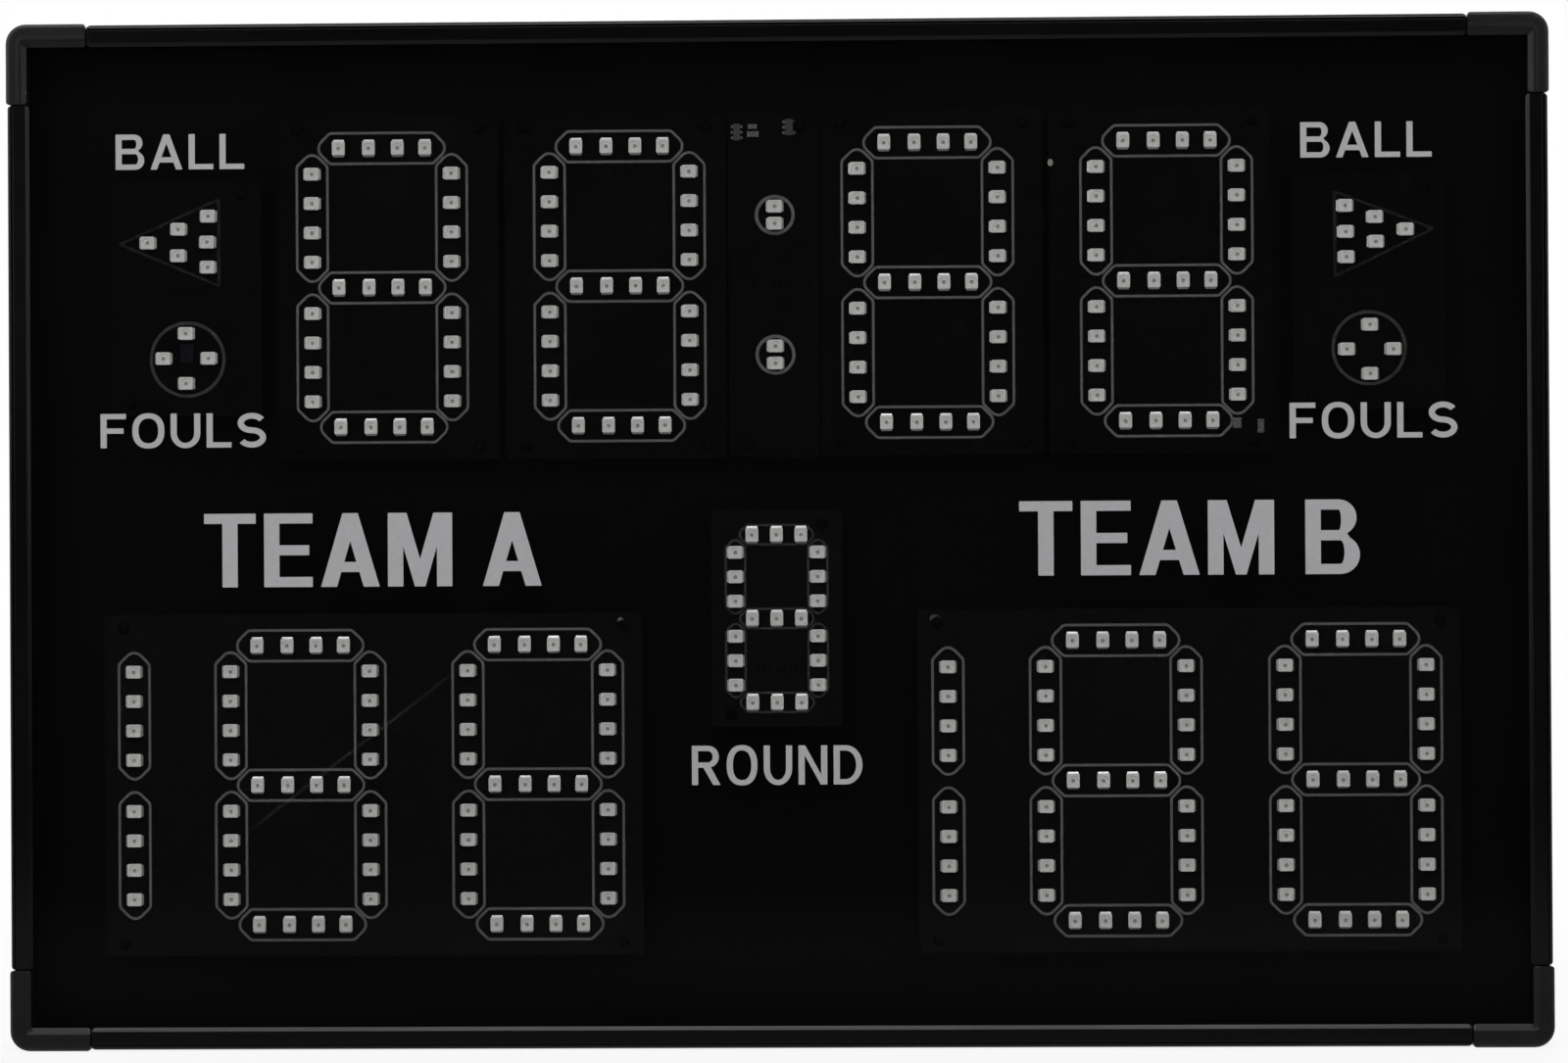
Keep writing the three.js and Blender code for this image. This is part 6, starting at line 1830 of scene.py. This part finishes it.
class SCOREBOARD_OT_inside(bpy.types.Operator):
    """Give the CAD pieces that stay their finishes"""

    bl_idname = "scoreboard.inside"
    bl_label = "Inner finishes"

    def execute(self, context):
        for node, finish in NODE_FINISHES.items():
            materials = frame["nodes"][node].data.materials
            materials.clear()
            materials.append(get_finish(finish))
        return {"FINISHED"}


# Stage

CAMERA_PLACE = (0.03128, -1.3731, 0.1997)
CAMERA_RIGHT = (0.999766, 0.020856, -0.005733)
CAMERA_UP = (0.005806, -0.003424, 0.999977)
CAMERA_BACK = (0.020836, -0.999777, -0.003545)
LAMPS = (
    # name, place, aimed at, width, height, watts
    ("key_left", (-1.08, -1.0, 0.75), (0.0, 0.0, 0.2), 0.66, 1.1, 4.2),
    ("fill_right", (1.0, -1.15, 0.8), (0.0, 0.0, 0.2), 0.35, 1.2, 2.2),
    ("top_front", (-0.1, -1.3, 1.85), (0.0, 0.0, 0.2), 1.8, 0.6, 17.0),
    ("rear", (0.4, 1.9, 1.5), (0.0, 0.0, 0.2), 1.6, 1.2, 24.0),
)


def make_camera():
    """A camera whose turn is given by its own three axes."""
    data = bpy.data.cameras.new("photo_camera")
    data.lens, data.sensor_width, data.sensor_fit = 78.75, 36.0, "HORIZONTAL"
    data.clip_start, data.clip_end = 0.01, 60.0
    camera = bpy.data.objects.new("photo_camera", data)
    turn = Matrix((CAMERA_RIGHT, CAMERA_UP, CAMERA_BACK)).transposed()
    camera.matrix_world = Matrix.Translation(CAMERA_PLACE) @ turn.to_4x4()
    bpy.context.scene.collection.objects.link(camera)
    bpy.context.scene.camera = camera


def make_lamp(name, place, target, width, height, watts):
    """A rectangular softbox aimed at a point."""
    data = bpy.data.lights.new(name, "AREA")
    data.shape, data.size, data.size_y, data.energy = "RECTANGLE", width, height, watts
    lamp = bpy.data.objects.new(name, data)
    lamp.location = place
    aim = Vector(target) - Vector(place)
    lamp.rotation_euler = aim.to_track_quat("-Z", "Y").to_euler()
    bpy.context.scene.collection.objects.link(lamp)


def make_world():
    """A soft even light, which the camera sees as white. Gloss and glass see that white behind
    the object and a darker room in front of it, where the camera stands."""
    world = bpy.data.worlds.new("studio")
    world.use_nodes = True
    bpy.context.scene.world = world
    graph = Graph(world.node_tree)
    path = graph.add("ShaderNodeLightPath").outputs
    way = graph.add("ShaderNodeTexCoord").outputs["Generated"]
    depth = graph.add("ShaderNodeSeparateXYZ", {0: way}).outputs["Y"]
    behind = graph.spread(depth, -0.6, -0.05, 0.0, 1.0)
    mirrored = graph.math("MAXIMUM", path["Is Glossy Ray"], path["Is Transmission Ray"])
    white = graph.math("MAXIMUM", path["Is Camera Ray"], graph.math("MULTIPLY", mirrored, behind))
    dim = graph.math("MULTIPLY", mirrored, graph.math("SUBTRACT", 1.0, behind))
    level = graph.math("SUBTRACT", 0.45, graph.math("MULTIPLY", dim, 0.42))
    soft = graph.add("ShaderNodeBackground", {"Color": (1, 1, 1, 1), "Strength": level})
    clear = graph.add("ShaderNodeBackground", {"Color": (1, 1, 1, 1), "Strength": 1.0})
    mixed = graph.add("ShaderNodeMixShader", {0: white, 1: soft.outputs[0], 2: clear.outputs[0]})
    graph.add("ShaderNodeOutputWorld", {"Surface": mixed.outputs[0]})


def make_floor():
    """A pale floor. Far from the object the camera and mirrors see it as plain white, and near
    the object it keeps its shadow."""
    material = bpy.data.materials.new("Pale floor")
    material.use_nodes = True
    graph = Graph(material.node_tree)
    place = graph.add("ShaderNodeTexCoord").outputs["Object"]
    grain = place_effect(graph, "grain", {"Vector": place, "Scale": 60.0})
    tone = graph.mix(grain, (0.86, 0.86, 0.86, 1), (0.9, 0.9, 0.9, 1))
    paper = graph.add("ShaderNodeBsdfPrincipled", {"Base Color": tone, "Roughness": 0.8,
                                                   "Specular IOR Level": 0.1})
    path = graph.add("ShaderNodeLightPath").outputs
    mirrored = graph.math("MAXIMUM", path["Is Glossy Ray"], path["Is Transmission Ray"])
    span = graph.add("ShaderNodeVectorMath", {0: place}, operation="LENGTH").outputs["Value"]
    far = graph.spread(span, 0.3, 1.2, 0.86, 1.0)
    depth = graph.add("ShaderNodeSeparateXYZ", {0: place}).outputs["Y"]
    front = graph.spread(depth, -0.04, 0.04, 1.0, 0.0)
    ahead = graph.math("MINIMUM", graph.spread(depth, -0.65, -0.42, 0.03, 0.36),
                       graph.spread(depth, -0.28, -0.1, 0.36, 0.14))
    kept = graph.math("MULTIPLY", mirrored, front)
    dim = graph.math("MULTIPLY", kept, graph.math("SUBTRACT", 1.0, ahead))
    seen = graph.math("MAXIMUM", path["Is Camera Ray"], mirrored)
    glow = graph.add("ShaderNodeEmission", {
        "Color": (1, 1, 1, 1), "Strength": graph.math("SUBTRACT", 1.0, dim)})
    share_seen = graph.math("MAXIMUM", graph.math("MULTIPLY", seen, far), kept)
    mixed = graph.add("ShaderNodeMixShader", {
        0: share_seen, 1: paper.outputs[0], 2: glow.outputs[0]})
    graph.add("ShaderNodeOutputMaterial", {"Surface": mixed.outputs[0]})
    mesh = bpy.data.meshes.new("floor")
    reach = 12.0
    mesh.from_pydata([(-reach, -reach, 0), (reach, -reach, 0), (reach, reach, 0),
                      (-reach, reach, 0)], [], [(0, 1, 2, 3)])
    mesh.materials.append(material)
    floor = bpy.data.objects.new("floor", mesh)
    bpy.context.scene.collection.objects.link(floor)
    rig.stage(floor)


class SCOREBOARD_OT_stage(bpy.types.Operator):
    """Set up the floor, the lamps, the world and the camera"""

    bl_idname = "scoreboard.stage"
    bl_label = "Stage"

    def execute(self, context):
        context.scene.view_settings.view_transform = "Standard"
        make_floor()
        make_world()
        for row in LAMPS:
            make_lamp(*row)
        make_camera()
        return {"FINISHED"}


class SCOREBOARD_PT_parts(bpy.types.Panel):
    """Lists the scoreboard's operators"""

    bl_idname = "SCOREBOARD_PT_parts"
    bl_label = "Scoreboard"
    bl_space_type = "VIEW_3D"
    bl_region_type = "UI"
    bl_category = "Scoreboard"

    def draw(self, context):
        for operator in OPERATORS:
            self.layout.operator(operator.bl_idname)


OPERATORS = (
    SCOREBOARD_OT_rails, SCOREBOARD_OT_caps, SCOREBOARD_OT_boards, SCOREBOARD_OT_panel,
    SCOREBOARD_OT_cover, SCOREBOARD_OT_fixings, SCOREBOARD_OT_controls, SCOREBOARD_OT_inside,
    SCOREBOARD_OT_stage,
)
CLASSES = (ScoreboardSizes, ScoreboardColours, *OPERATORS, SCOREBOARD_PT_parts)


def register():
    """Registers the classes and gives the scene its sizes and colours."""
    for cls in CLASSES:
        bpy.utils.register_class(cls)
    bpy.types.Scene.scoreboard_sizes = bpy.props.PointerProperty(type=ScoreboardSizes)
    bpy.types.Scene.scoreboard_colours = bpy.props.PointerProperty(type=ScoreboardColours)


def unregister():
    """Undoes what register does."""
    del bpy.types.Scene.scoreboard_colours
    del bpy.types.Scene.scoreboard_sizes
    for cls in reversed(CLASSES):
        bpy.utils.unregister_class(cls)


def main():
    """Builds everything in order, and writes the two boxes."""
    register()
    for operator in OPERATORS:
        name = operator.bl_idname.split(".")[1]
        getattr(bpy.ops.scoreboard, name)()
    sizes_found = {"cad": CAD_BOX, "visual": [list(corner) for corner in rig.bounds()]}
    with open(SIZE_FILE, "w") as out:
        json.dump(sizes_found, out)


if __name__ == "__main__":
    main()
